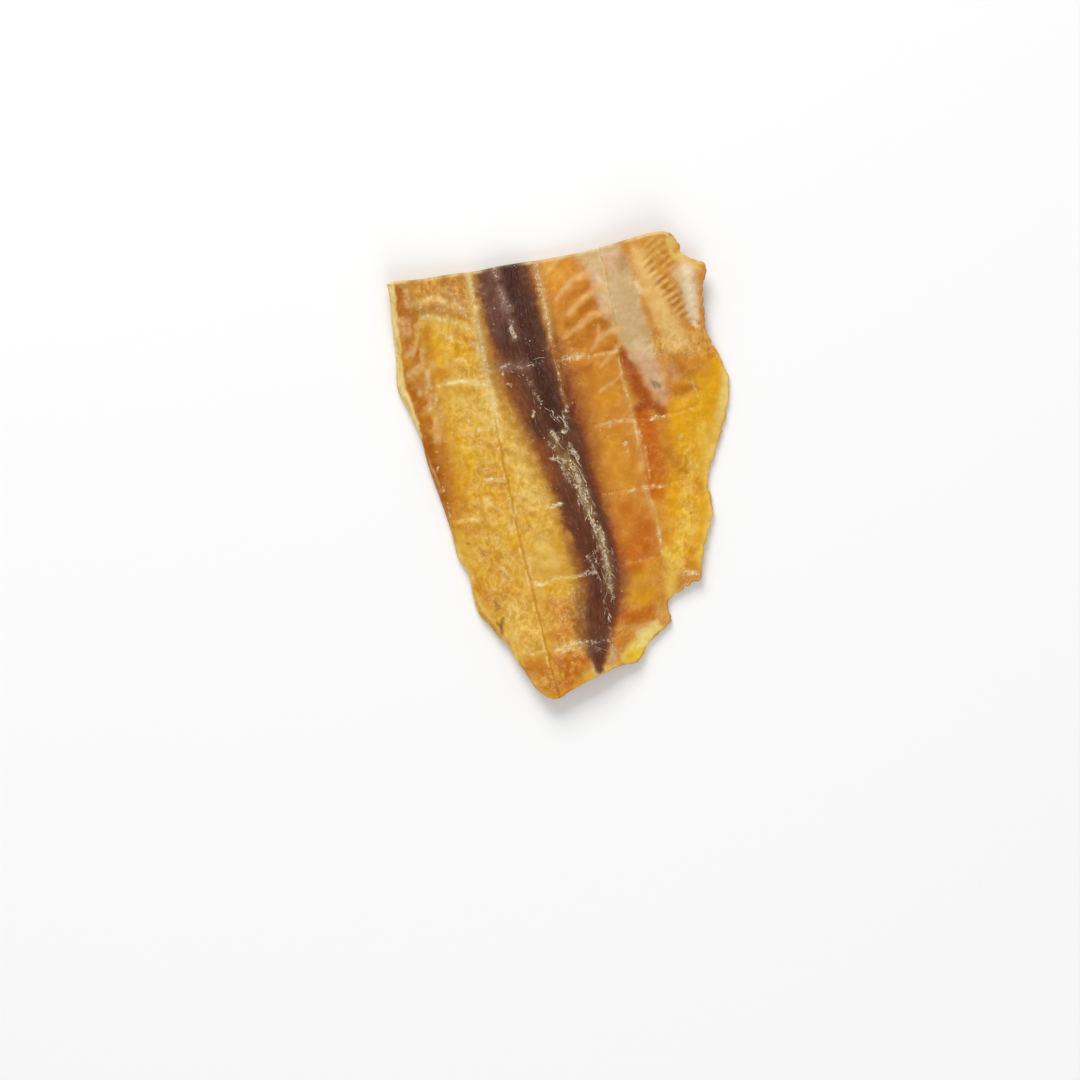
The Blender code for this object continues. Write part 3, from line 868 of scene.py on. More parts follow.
LOWER_LEFT = (
    (BRIGHT_GOLD, 0.95, 0.7, ((462, 442, 12), (466, 462, 16), (462, 482, 14))),
    (YELLOW, 0.55, 0.9, ((468, 470, 12), (462, 490, 12), (498, 500, 12), (502, 516, 9))),
    (AMBER, 0.70, 0.9, ((464, 498, 9), (462, 510, 9), (474, 510, 8))),
    (AMBER, 0.60, 0.9, ((490, 478, 10), (500, 486, 8))),
    (PALE_GOLD, 0.55, 0.9, ((515, 440, 12), (522, 470, 16), (535, 500, 18), (545, 505, 12))),
    (PALE_GOLD, 0.50, 0.9, ((480, 520, 9), (487, 500, 6))),
    (ORANGE, 0.60, 0.9, ((468, 530, 9), (478, 534, 9))),
    (DEEP_AMBER, 0.60, 0.9, ((480, 550, 5), (483, 556, 4))),
    (AMBER, 0.50, 0.9, ((493, 552, 10), (500, 575, 12), (508, 590, 12))),
    (AMBER, 0.70, 0.9, ((507, 590, 7), (515, 594, 5))),
    (BRIGHT_GOLD, 0.55, 0.9, ((515, 540, 14), (505, 528, 10), (545, 560, 12))),
    (PALE_GOLD, 0.55, 0.9, ((540, 545, 14), (556, 565, 12), (530, 560, 10))),
    (AMBER, 0.60, 0.9, ((478, 585, 13), (490, 598, 14), (504, 604, 9))),
    (PALE_YELLOW, 0.80, 0.9, ((450, 536, 8), (457, 562, 10), (467, 582, 9), (473, 606, 9), (490, 627, 10),
                              (505, 645, 12), (516, 662, 7))),
    (PALE_GOLD, 0.70, 0.9, ((508, 606, 12), (522, 622, 12), (516, 634, 10))),
    (SOOT, 0.55, 1.0, ((495, 602, 3), (498, 607, 4), (495, 612, 3))),
    (SOOT, 0.75, 1.0, ((505, 619, 2), (501, 627, 4), (502, 634, 3))),
    (SOOT, 0.55, 1.0, ((497, 624, 2), (501, 628, 3))),
    (SOOT, 0.50, 0.9, ((466, 543, 2), (469, 543, 2))),
)
print("fields left of the band:", len(UPPER_LEFT) + len(LEFT_STRIP) + len(LOWER_LEFT))

# %% Paint the orange flesh right of the dark band
MIDDLE_RIGHT = (
    (ORANGE, 0.95, 0.4, ((572, 245, 46), (580, 320, 50), (598, 400, 54), (618, 480, 54), (632, 560, 50),
                         (640, 600, 34))),
    (YELLOW, 0.35, 0.9, ((548, 270, 12), (556, 285, 10), (566, 268, 14))),
    (AMBER, 0.75, 0.9, ((564, 264, 9), (584, 268, 9))),
    (DEEP_AMBER, 0.60, 0.9, ((568, 298, 6), (577, 292, 8), (590, 285, 8))),
    (DEEP_AMBER, 0.85, 0.8, ((580, 312, 5), (592, 304, 10), (601, 308, 8))),
    (DEEP_AMBER, 0.85, 0.8, ((590, 328, 6), (602, 322, 10), (614, 324, 8))),
    (DEEP_AMBER, 0.70, 0.9, ((578, 318, 7), (568, 326, 8), (574, 335, 6))),
    (DEEP_AMBER, 0.70, 0.9, ((560, 344, 8), (578, 343, 9), (590, 336, 7))),
    (RUST, 0.55, 0.9, ((550, 330, 9), (557, 352, 9))),
    (DEEP_AMBER, 0.65, 0.9, ((605, 348, 8), (616, 342, 7))),
    (AMBER, 0.55, 0.9, ((598, 372, 12), (600, 392, 12), (612, 396, 12))),
    (DEEP_AMBER, 0.35, 0.9, ((586, 370, 12), (590, 392, 12))),
    (YELLOW, 0.30, 0.9, ((606, 400, 14), (618, 400, 12))),
    (AMBER, 0.50, 0.9, ((598, 470, 10), (606, 492, 10))),
    (YELLOW, 0.25, 0.9, ((612, 440, 16), (620, 465, 20), (622, 480, 16))),
    (RUDDY, 0.45, 0.9, ((590, 366, 7), (574, 374, 10))),
    (RUDDY, 0.98, 0.9, ((622, 350, 9), (630, 366, 14), (637, 382, 14))),
    (RUDDY, 0.95, 0.9, ((641, 392, 14), (647, 402, 13), (640, 410, 12))),
    (RUDDY, 0.90, 0.9, ((655, 404, 9), (662, 411, 8))),
    (BURNT_ORANGE, 0.95, 0.7, ((644, 422, 15), (652, 445, 17), (657, 470, 17), (658, 492, 13))),
    (BURNT_ORANGE, 0.50, 1.0, ((624, 508, 18), (636, 520, 22))),
    (BURNT_ORANGE, 0.92, 1.0, ((646, 530, 17), (642, 548, 22), (622, 556, 20))),
    (BURNT_ORANGE, 0.50, 0.9, ((614, 530, 16), (620, 552, 14))),
    (YELLOW, 0.42, 0.9, ((655, 570, 16), (640, 578, 12), (650, 595, 20), (632, 596, 14))),
    (BURNT_ORANGE, 0.65, 0.9, ((622, 568, 10), (640, 570, 8))),
    (BURNT_ORANGE, 0.80, 0.9, ((620, 616, 12), (636, 616, 12), (650, 611, 11))),
    (YELLOW, 0.30, 0.9, ((628, 592, 12), (645, 600, 12))),
    (TAN, 0.60, 0.9, ((622, 629, 5), (640, 627, 5))),
    (STRAW, 0.28, 0.9, ((645, 488, 4), (652, 505, 5), (657, 520, 5), (661, 540, 4))),
    (STRAW, 0.22, 0.9, ((624, 385, 4), (632, 412, 6), (639, 440, 6), (642, 470, 4))),
)
OUTER_RIGHT = (
    (TAN, 0.90, 0.9, ((650, 350, 20), (680, 345, 22), (700, 342, 18))),
    (YELLOW, 0.98, 0.8, ((722, 372, 34), (716, 400, 50), (702, 450, 52), (698, 510, 52), (690, 545, 34))),
    (YELLOW, 0.90, 0.8, ((684, 398, 22), (680, 440, 17), (682, 500, 20))),
    (AMBER, 0.60, 0.9, ((664, 368, 16), (684, 386, 14))),
    (AMBER, 0.50, 0.9, ((664, 425, 10), (666, 480, 10))),
    (DEEP_AMBER, 0.60, 0.9, ((674, 358, 8), (680, 370, 8))),
    (DEEP_AMBER, 0.62, 0.9, ((672, 374, 8), (690, 372, 9), (698, 366, 7))),
    (DEEP_AMBER, 0.85, 0.9, ((664, 394, 10), (678, 391, 9), (696, 386, 7))),
    (AMBER, 0.80, 0.9, ((703, 342, 6), (710, 354, 6))),
    (BRIGHT_GOLD, 0.45, 0.9, ((708, 385, 16), (712, 410, 14), (706, 470, 16), (700, 520, 16),
                              (690, 515, 14))),
    (AMBER, 0.60, 0.9, ((698, 365, 12), (708, 372, 12))),
    (AMBER, 0.65, 0.9, ((668, 440, 14), (674, 462, 16), (690, 470, 14), (698, 490, 12), (688, 482, 10))),
    (DEEP_AMBER, 0.35, 0.9, ((670, 450, 7), (680, 470, 8))),
    (SUNNY, 0.60, 0.9, ((702, 425, 10), (706, 448, 12), (700, 470, 9))),
    (SUNNY, 0.50, 0.9, ((688, 455, 8), (696, 466, 7), (690, 492, 8))),
    (SUNNY, 0.65, 0.9, ((686, 498, 12), (690, 528, 16), (676, 548, 14))),
    (AMBER, 0.50, 0.9, ((690, 548, 8), (700, 556, 7))),
    (SUNNY, 0.80, 0.9, ((666, 552, 8), (676, 566, 14), (670, 582, 12), (672, 594, 10))),
    (AMBER, 0.80, 0.9, ((690, 566, 7), (700, 566, 7))),
    (PALE_YELLOW, 0.90, 0.8, ((730, 360, 10), (727, 392, 10), (722, 415, 9))),
    (PALE_YELLOW, 0.60, 0.9, ((718, 425, 10), (713, 450, 10), (709, 472, 7))),
    (SUNNY, 0.80, 0.8, ((708, 478, 8), (713, 510, 9), (708, 540, 10), (701, 556, 8))),
    (PALE_YELLOW, 0.50, 0.9, ((712, 505, 6), (714, 520, 6), (706, 545, 6))),
    (BURNT_ORANGE, 0.60, 1.0, ((654, 428, 13), (660, 455, 14), (661, 480, 11))),
    (SOOT, 0.70, 0.9, ((692, 512, 2),)),
)
print("fields right of the band:", len(MIDDLE_RIGHT) + len(OUTER_RIGHT))

# %% Paint the pale fatty bands and the comb in the upper right corner
PALE_BANDS = (
    (BEIGE, 0.97, 0.5, ((594, 244, 27), (609, 270, 28), (622, 300, 27), (634, 330, 23), (642, 350, 17),
                        (647, 362, 10))),
    (PINK_BEIGE, 0.80, 0.9, ((592, 270, 8), (599, 292, 10), (607, 314, 9))),
    (PINK_BEIGE, 0.75, 0.9, ((610, 248, 12), (613, 268, 12))),
    (PINK_BEIGE, 0.88, 0.8, ((638, 348, 15), (650, 366, 17), (657, 382, 15))),
    (PINK_BEIGE, 0.65, 1.0, ((657, 384, 15), (663, 398, 12))),
    (PINK_BEIGE, 0.35, 1.0, ((672, 366, 9), (676, 378, 8))),
    (EDGE_BROWN, 0.42, 1.0, ((622, 260, 9), (623, 268, 9))),
    (EDGE_BROWN, 0.25, 0.9, ((638, 266, 5), (632, 290, 4))),
    (CREAM, 0.35, 0.9, ((636, 346, 9), (650, 350, 9))),
    (CREAM, 0.35, 0.9, ((600, 280, 6), (606, 300, 6))),
    (APRICOT, 0.95, 0.8, ((638, 250, 13), (650, 285, 16), (662, 312, 20), (676, 338, 18))),
    (ORANGE, 0.75, 0.9, ((640, 296, 4), (648, 316, 6), (655, 334, 7), (662, 350, 7))),
    (TAN, 0.95, 0.8, ((640, 240, 15), (655, 247, 17))),
    (AMBER, 0.50, 0.9, ((640, 240, 12), (650, 250, 10))),
    (TAN, 0.75, 0.9, ((650, 262, 10), (660, 278, 9), (670, 294, 10), (680, 312, 10))),
    (PALE_GOLD, 0.85, 0.8, ((670, 240, 8), (676, 256, 8), (686, 262, 7), (698, 266, 7))),
    (BEIGE, 0.75, 1.0, ((676, 270, 12), (684, 290, 12), (690, 310, 11))),
    (WHITISH, 0.92, 1.0, ((686, 268, 12), (690, 290, 14), (694, 314, 12))),
    (AMBER, 0.65, 0.9, ((676, 252, 4), (678, 244, 3))),
    (ORANGE, 0.80, 0.9, ((704, 276, 5), (702, 300, 5), (705, 322, 5))),
    (AMBER, 0.60, 0.8, ((706, 266, 4), (704, 276, 3))),
    (DEEP_AMBER, 0.95, 0.8, ((666, 289, 6), (670, 291, 5))),
    (DEEP_AMBER, 0.65, 0.9, ((659, 282, 5), (665, 277, 4))),
    (DEEP_AMBER, 0.60, 0.9, ((676, 299, 4), (681, 293, 4))),
    (DEEP_AMBER, 0.60, 0.9, ((681, 316, 4), (685, 311, 4))),
    (DEEP_AMBER, 0.50, 0.9, ((673, 306, 5), (678, 302, 4))),
    (OLIVE, 0.95, 0.6, ((655, 384, 3), (659, 386, 3))),
    (SOOT, 0.55, 0.9, ((651, 380, 2), (655, 388, 2))),
    (CREAM, 0.50, 0.9, ((636, 284, 5), (640, 292, 5))),
    (SOOT, 0.90, 0.9, ((670, 236, 3),)),
)
print("pale fields:", len(PALE_BANDS))

# %% Paint the dark band
MARGINS = (  # the tint of the skin's brown rim left and right of the dark muscle
    (EDGE_BROWN, 0.80, 1.0, ((478, 250, 14), (482, 290, 15), (490, 335, 20), (500, 370, 24), (514, 400, 26),
                             (529, 430, 24), (541, 455, 22), (554, 480, 20), (565, 510, 17),
                             (574, 545, 17), (582, 575, 12))),
    (RUST, 0.70, 1.0, ((566, 515, 12), (575, 545, 14), (583, 580, 16), (580, 612, 19), (583, 640, 14))),
    (EDGE_BROWN, 0.60, 1.0, ((532, 255, 14), (536, 290, 17), (543, 320, 18), (551, 345, 18))),
    (RUST, 0.70, 1.0, ((532, 255, 10), (536, 290, 11), (543, 320, 13), (549, 345, 16))),
    (PURPLE_BROWN, 0.60, 1.0, ((589, 592, 17), (586, 612, 19), (588, 636, 15), (594, 652, 12))),
    (PURPLE_BROWN, 0.45, 1.0, ((620, 562, 13), (623, 585, 15), (618, 606, 13))),
    (RUST, 0.92, 1.0, ((549, 345, 20), (560, 370, 22), (569, 395, 26), (576, 420, 26), (585, 450, 23),
                       (591, 480, 21), (599, 510, 19), (607, 540, 20), (614, 568, 19), (616, 596, 18),
                       (612, 620, 13))),
)
DARK_BAND = (
    (PURPLE_BROWN, 0.85, 0.9, ((486, 255, 18), (490, 285, 21), (496, 312, 18), (500, 335, 14))),
    (RUST, 0.45, 0.9, ((500, 360, 10), (512, 385, 13), (524, 410, 13))),
    (CORE, 0.98, 0.9, ((509, 248, 18), (511, 280, 17), (514, 300, 14))),
    (CORE, 0.80, 0.9, ((521, 300, 18), (526, 325, 22), (530, 348, 18))),
    (CORE, 0.50, 0.9, ((505, 330, 12), (512, 350, 14))),
    (VEIN, 0.34, 1.0, ((494, 262, 7), (496, 274, 8))), (VEIN, 0.36, 1.0, ((500, 289, 8), (506, 306, 11))),
    (VEIN, 0.35, 1.0, ((512, 322, 6), (515, 338, 7))), (VEIN, 0.25, 1.0, ((500, 366, 9), (530, 366, 9))),
    (CORE, 0.98, 0.9, ((536, 360, 12), (545, 385, 18), (551, 408, 16), (556, 428, 11))),
    (CORE, 0.40, 0.9, ((535, 425, 12), (545, 440, 12))),
    (RUST, 0.65, 0.9, ((542, 446, 13), (552, 472, 13), (560, 492, 13))),
    (WINE, 0.75, 0.9, ((562, 486, 12), (570, 508, 14), (578, 530, 14))),
    (WINE, 0.90, 0.9, ((584, 536, 14), (594, 560, 16), (599, 590, 15), (597, 625, 13))),
    (CORE, 0.45, 0.9, ((590, 545, 8), (598, 575, 9), (600, 600, 9))),
    (PURPLE_BROWN, 0.60, 0.9, ((592, 645, 7), (590, 652, 6))),
    (PURPLE_BROWN, 0.50, 0.9, ((612, 560, 7), (616, 585, 8), (613, 605, 6))),
    (WINE, 0.75, 0.9, ((600, 648, 8), (600, 663, 5))),
    (ORANGE, 0.40, 0.9, ((568, 532, 4), (572, 540, 5))),
    (TISSUE, 0.60, 1.0, ((566, 456, 7), (574, 470, 9), (581, 486, 9), (587, 502, 9), (592, 515, 7))),
    (TISSUE, 0.50, 0.9, ((597, 526, 7), (603, 545, 8), (607, 560, 7), (611, 590, 6))),
    (TISSUE, 0.35, 0.9, ((550, 432, 5), (556, 442, 6), (562, 462, 5), (570, 480, 5))),
    (APRICOT, 0.34, 1.0, ((536, 262, 9), (541, 285, 9), (546, 315, 8), (551, 340, 7))),
    (ORANGE, 0.35, 1.0, ((553, 345, 6), (560, 380, 6), (566, 404, 6))),
)
print("fields of the band:", len(DARK_BAND) + len(MARGINS))

# %% Paint the tail end
TAIL = (
    (TAN, 0.30, 0.9, ((545, 600, 14), (560, 625, 24), (576, 630, 18))),
    (ORANGE, 0.90, 0.9, ((556, 606, 18), (570, 618, 21), (560, 636, 18))),
    (BRIGHT_GOLD, 0.70, 0.9, ((546, 588, 9), (562, 590, 9))),
    (AMBER, 0.95, 0.8, ((534, 668, 18), (548, 684, 20), (562, 690, 14))),
    (ORANGE, 0.60, 0.9, ((536, 664, 14), (548, 676, 12))),
    (BURNT_ORANGE, 0.85, 0.9, ((562, 664, 20), (582, 660, 16), (568, 680, 16))),
    (BURNT_ORANGE, 0.40, 0.9, ((532, 668, 10), (545, 672, 10))),
    (DEEP_AMBER, 0.55, 0.9, ((592, 656, 6), (588, 668, 7))),
    (PALE_GOLD, 0.80, 0.8, ((604, 672, 7), (616, 667, 7))),
    (BEIGE, 0.75, 0.9, ((612, 650, 8), (612, 660, 8))),
    (BEIGE, 0.70, 0.9, ((592, 665, 5), (598, 674, 5))),
    (BUTTER, 0.95, 0.8, ((628, 657, 12), (638, 650, 14), (648, 638, 13), (658, 628, 8))),
    (LEMON, 0.95, 0.9, ((630, 657, 9), (641, 653, 9))),
    (CREAM, 0.50, 0.9, ((640, 634, 6), (655, 624, 5))),
    (DEEP_AMBER, 0.40, 0.9, ((617, 656, 4), (622, 651, 3))),
    (TAN, 0.85, 0.9, ((662, 614, 7), (668, 622, 7), (660, 604, 7))),
    (DEEP_AMBER, 0.65, 0.9, ((672, 621, 3), (668, 629, 3), (656, 636, 3))),
    (PALE_YELLOW, 0.60, 0.9, ((524, 680, 4), (534, 690, 4), (548, 699, 4))),
)
print("fields of the tail:", len(TAIL))

# %% Lay the paint on the points
BAR_TONE, BLISTER_TONE, CREASE_TONE = linear("e2b274"), linear("d6a868"), linear("ead49c")
CREST_TONE, HOLLOW_TONE = linear("e6c880"), linear("b8681c")  # of the comb


def layered(colours, spots, fields):
    """Colours with each field laid over them in turn."""
    for colour, strength, fade, path in fields:
        cover = strength * stroke(spots, path, fade)
        colours += cover[:, None] * (colour - colours)
    return colours


def toward(colours, share, colour):
    """Colours moved towards one colour by a share."""
    return colours + np.asarray(share)[:, None] * (colour - colours)


spots = in_photo(all_points)
across, along = fish_coordinates(all_points)
loose = stirred(spots, 2.6, 12.0, 71)
paint = np.where((across > 0)[:, None], ORANGE, GOLD) * np.ones((len(spots), 1))
for fields in (UPPER_LEFT, LOWER_LEFT, LEFT_STRIP, MIDDLE_RIGHT, OUTER_RIGHT, PALE_BANDS, TAIL):
    paint = layered(paint, loose, fields)
paint = toward(paint, 0.62 * strokes(stirred(spots, 1.5, 7.0, 56), PALE_BARS, 0.9), BAR_TONE)
blister_patches = 0.35 + 0.50 * ramp(lumps(spots, 3.5, 79), -0.7, 0.4)
blister_show = blister_patches * strokes(stirred(spots, 2.5, 7.0, 55), BLISTERS, 0.8)
paint = toward(paint, blister_show, BLISTER_TONE)
paint = toward(paint, 0.40 * creased(spots), CREASE_TONE)
tooth = comb_show(spots) * comb_teeth(spots)
paint = toward(paint, 0.60 * np.maximum(tooth, 0), CREST_TONE)
paint = toward(paint, 0.70 * np.maximum(-tooth, 0), HOLLOW_TONE)

# %% Lay the dark band over it
# Dark flesh that shows through clear flesh looks orange first: the rim of the band is never olive.
SEEN_THROUGH = np.array([0.88, 0.66, 0.62])  # how much red, green and blue the rim lets through
band_cover = stroke(loose, BAND)
soft_rim = 0.24 + 0.34 * ramp(spots[:, 1], 325, 395) * (1 - 0.55 * ramp(spots[:, 1], 470, 530))
soft_rim += 0.48 * ramp(spots[:, 1], 565, 600)
brown_share = 0.97 * ramp(band_cover, 0.04, soft_rim)
paint = layered(paint, loose, MARGINS)
paint = toward(paint, brown_share, BROWN)
seen_through = (4 * brown_share * (1 - brown_share))[:, None]
paint *= SEEN_THROUGH ** seen_through
paint = layered(paint, loose, DARK_BAND)
print("painted points:", len(paint))

# %% Layer the wall and tint the rims
RIMS = (  # side, colour, strength, width in mm
    (2, linear("e6d49a"), 0.85, 1.10), (0, linear("b06a18"), 0.55, 0.35),
    (1, linear("e6c878"), 0.60, 1.00), (3, linear("c98a30"), 0.35, 0.30),
)
LAYER_TONE, LEDGE_TONE = linear("b47424"), linear("ecd79c")  # on the wall
RIM_ON_WALL = 0.35  # how much of a rim's tint goes on down the wall

rim_tree = KDTree(len(belly))
for number, point in enumerate(belly):
    rim_tree.insert((point[0], point[1], 0.0), number)
rim_tree.balance()
nearest = [rim_tree.find((x, y, 0.0)) for x, y in all_points[:, :2]]
from_rim = np.array([found[2] for found in nearest])
rim_side = side_of[np.array([found[1] for found in nearest])]
rim_patchy = ramp(lumps(spots, 10.0, 76), -0.9, 0.2) * (1 - 0.8 * ramp(band_cover, 0.1, 0.5))
wall_around = np.tile(around, len(rows))
wall_height = all_points[first_wall:first_under, 2]
layers = lumps(np.column_stack([wall_around / 14, 2.2 * wall_height]), 1.0, 77)
layers += 0.6 * lumps(np.column_stack([wall_around / 5, 5.0 * wall_height]), 1.0, 78)
wall = toward(paint[first_wall:first_under], 0.72 * ramp(layers, -0.1, 0.6), LAYER_TONE)
paint[first_wall:first_under] = toward(wall, 0.35 * ramp(layers, -0.1, -0.8), LEDGE_TONE)
for side, rim_colour, strength, width in RIMS:
    cover = strength * (rim_side == side) * ramp(from_rim, width, 0.2 * width)
    cover[first_wall:first_under] *= RIM_ON_WALL
    paint = toward(paint, cover * rim_patchy, rim_colour)
print("furthest from the rim:", round(from_rim.max(), 1), "mm")

# %% [markdown]
# ## The face that lies down
#
# Nobody sees the underside in the photograph. It is the same flesh without the rack's marks and
# stains: amber, with the pale chevrons of the muscle segments and only a shadow of the dark band.

# %% Paint the underside
is_under = np.arange(len(all_points)) >= first_under
chevron = ramp(np.cos(2 * np.pi * segment_number(across, along) + 0.8 * lumps(spots, 20.0, 82)), 0.75, 1.0)
below = GOLD + (0.5 + 0.5 * crumple(spots, 40.0, 3, 83))[:, None] * (AMBER - GOLD)
below += (0.5 * chevron * ramp(np.abs(across), 2.0, 6.0))[:, None] * (PALE_GOLD - below)
below += (0.55 * stroke(loose, BAND, 1.0))[:, None] * (EDGE_BROWN - below)
paint[is_under] = below[is_under]
print("points on the underside:", int(is_under.sum()))

# %% [markdown]
# ## Chalky places
#
# Where something rubbed the dry surface, or where tissue stood up and dried out, it is white and
# dull. Such places are never filled evenly: they are crusts and scratches with gaps. So only their
# place and strength is stored here, and the material breaks them up.

# %% Mark the rack's pale rubbings
CHALKY_WIRES = (  # how chalky, and a stroke
    (0.55, ((466, 272, 4), (471, 292, 4), (476, 312, 5), (480, 332, 5), (486, 355, 5), (491, 385, 5))),
    (0.60, ((492, 395, 4), (502, 410, 5))), (0.35, ((506, 440, 8), (520, 470, 10), (540, 500, 8))),
    (0.80, ((534, 264, 6), (538, 278, 7), (541, 290, 6), (545, 305, 6), (548, 325, 6))),
    (0.70, ((551, 335, 3), (555, 352, 3))), (0.80, ((557, 364, 3), (560, 380, 3), (563, 400, 3))),
    (0.50, ((618, 358, 2), (622, 375, 3), (626, 392, 4), (632, 410, 5), (634, 420, 4))),
    (0.80, ((638, 428, 3), (641, 438, 4))), (0.55, ((637, 445, 4), (640, 460, 4), (643, 478, 3))),
    (0.60, ((645, 446, 2), (648, 464, 2), (651, 478, 2))),
    (0.80, ((642, 487, 4), (647, 486, 4))),
    (0.55, ((647, 490, 3), (651, 502, 3), (656, 515, 5), (659, 532, 4))),
    (0.60, ((661, 540, 3), (663, 556, 3))), (0.35, ((691, 372, 3), (697, 388, 3))),
    (0.40, ((702, 410, 4), (706, 430, 5))), (0.95, ((448, 382, 4), (466, 382, 5))),
    (0.75, ((470, 378, 4), (476, 379, 3))), (0.85, ((476, 386, 5), (487, 384, 5))),
    (0.70, ((437, 386, 4),)),
    (1.00, ((502, 367, 2), (506, 366, 3), (510, 364, 2))), (0.75, ((514, 366, 3), (521, 367, 4))),
    (0.65, ((529, 363, 4), (549, 361, 4))), (0.80, ((545, 367, 3),)), (0.80, ((535, 366, 3),)),
    (1.00, ((564, 359, 6), (578, 357, 6))), (1.20, ((589, 356, 4),)),
    (0.50, ((597, 354, 5), (618, 351, 5))),
    (0.40, ((460, 446, 3), (497, 443, 3))), (0.55, ((600, 424, 2), (616, 421, 2))),
    (0.75, ((618, 421, 4), (632, 420, 4))), (1.10, ((651, 419, 3), (657, 416, 3), (664, 416, 3))),
    (0.70, ((667, 418, 2), (679, 415, 2))), (0.80, ((690, 408, 4), (699, 406, 4))),
    (0.95, ((483, 480, 2), (490, 479, 3), (505, 481, 3))), (0.60, ((460, 521, 5), (478, 519, 5))),
    (0.45, ((515, 507, 5), (548, 507, 5))), (1.00, ((549, 507, 4), (560, 504, 7))),
    (0.85, ((603, 496, 2), (612, 493, 2))), (1.00, ((628, 492, 3), (635, 489, 4))),
    (0.95, ((657, 488, 2), (664, 486, 2))), (0.70, ((667, 485, 3), (681, 481, 2))),
    (1.30, ((535, 582, 3), (541, 585, 4))), (0.60, ((545, 579, 5), (574, 577, 5))),
    (1.05, ((574, 578, 3), (588, 573, 4), (596, 573, 3))), (0.55, ((612, 566, 2), (660, 557, 2))),
    (0.75, ((524, 652, 2), (540, 648, 2), (546, 651, 2))), (0.60, ((526, 654, 2), (542, 654, 2))),
    (0.90, ((556, 650, 4), (568, 646, 6), (582, 642, 5), (592, 641, 3))),
    (0.75, ((564, 650, 4), (578, 649, 4))),
    (0.85, ((592, 643, 2), (609, 640, 3))), (0.60, ((618, 628, 3), (641, 624, 3))),
    (0.45, ((620, 607, 3), (641, 609, 3))), (0.40, ((628, 590, 3), (642, 583, 3), (665, 579, 3))),
)
print("pale rubbings:", len(CHALKY_WIRES))

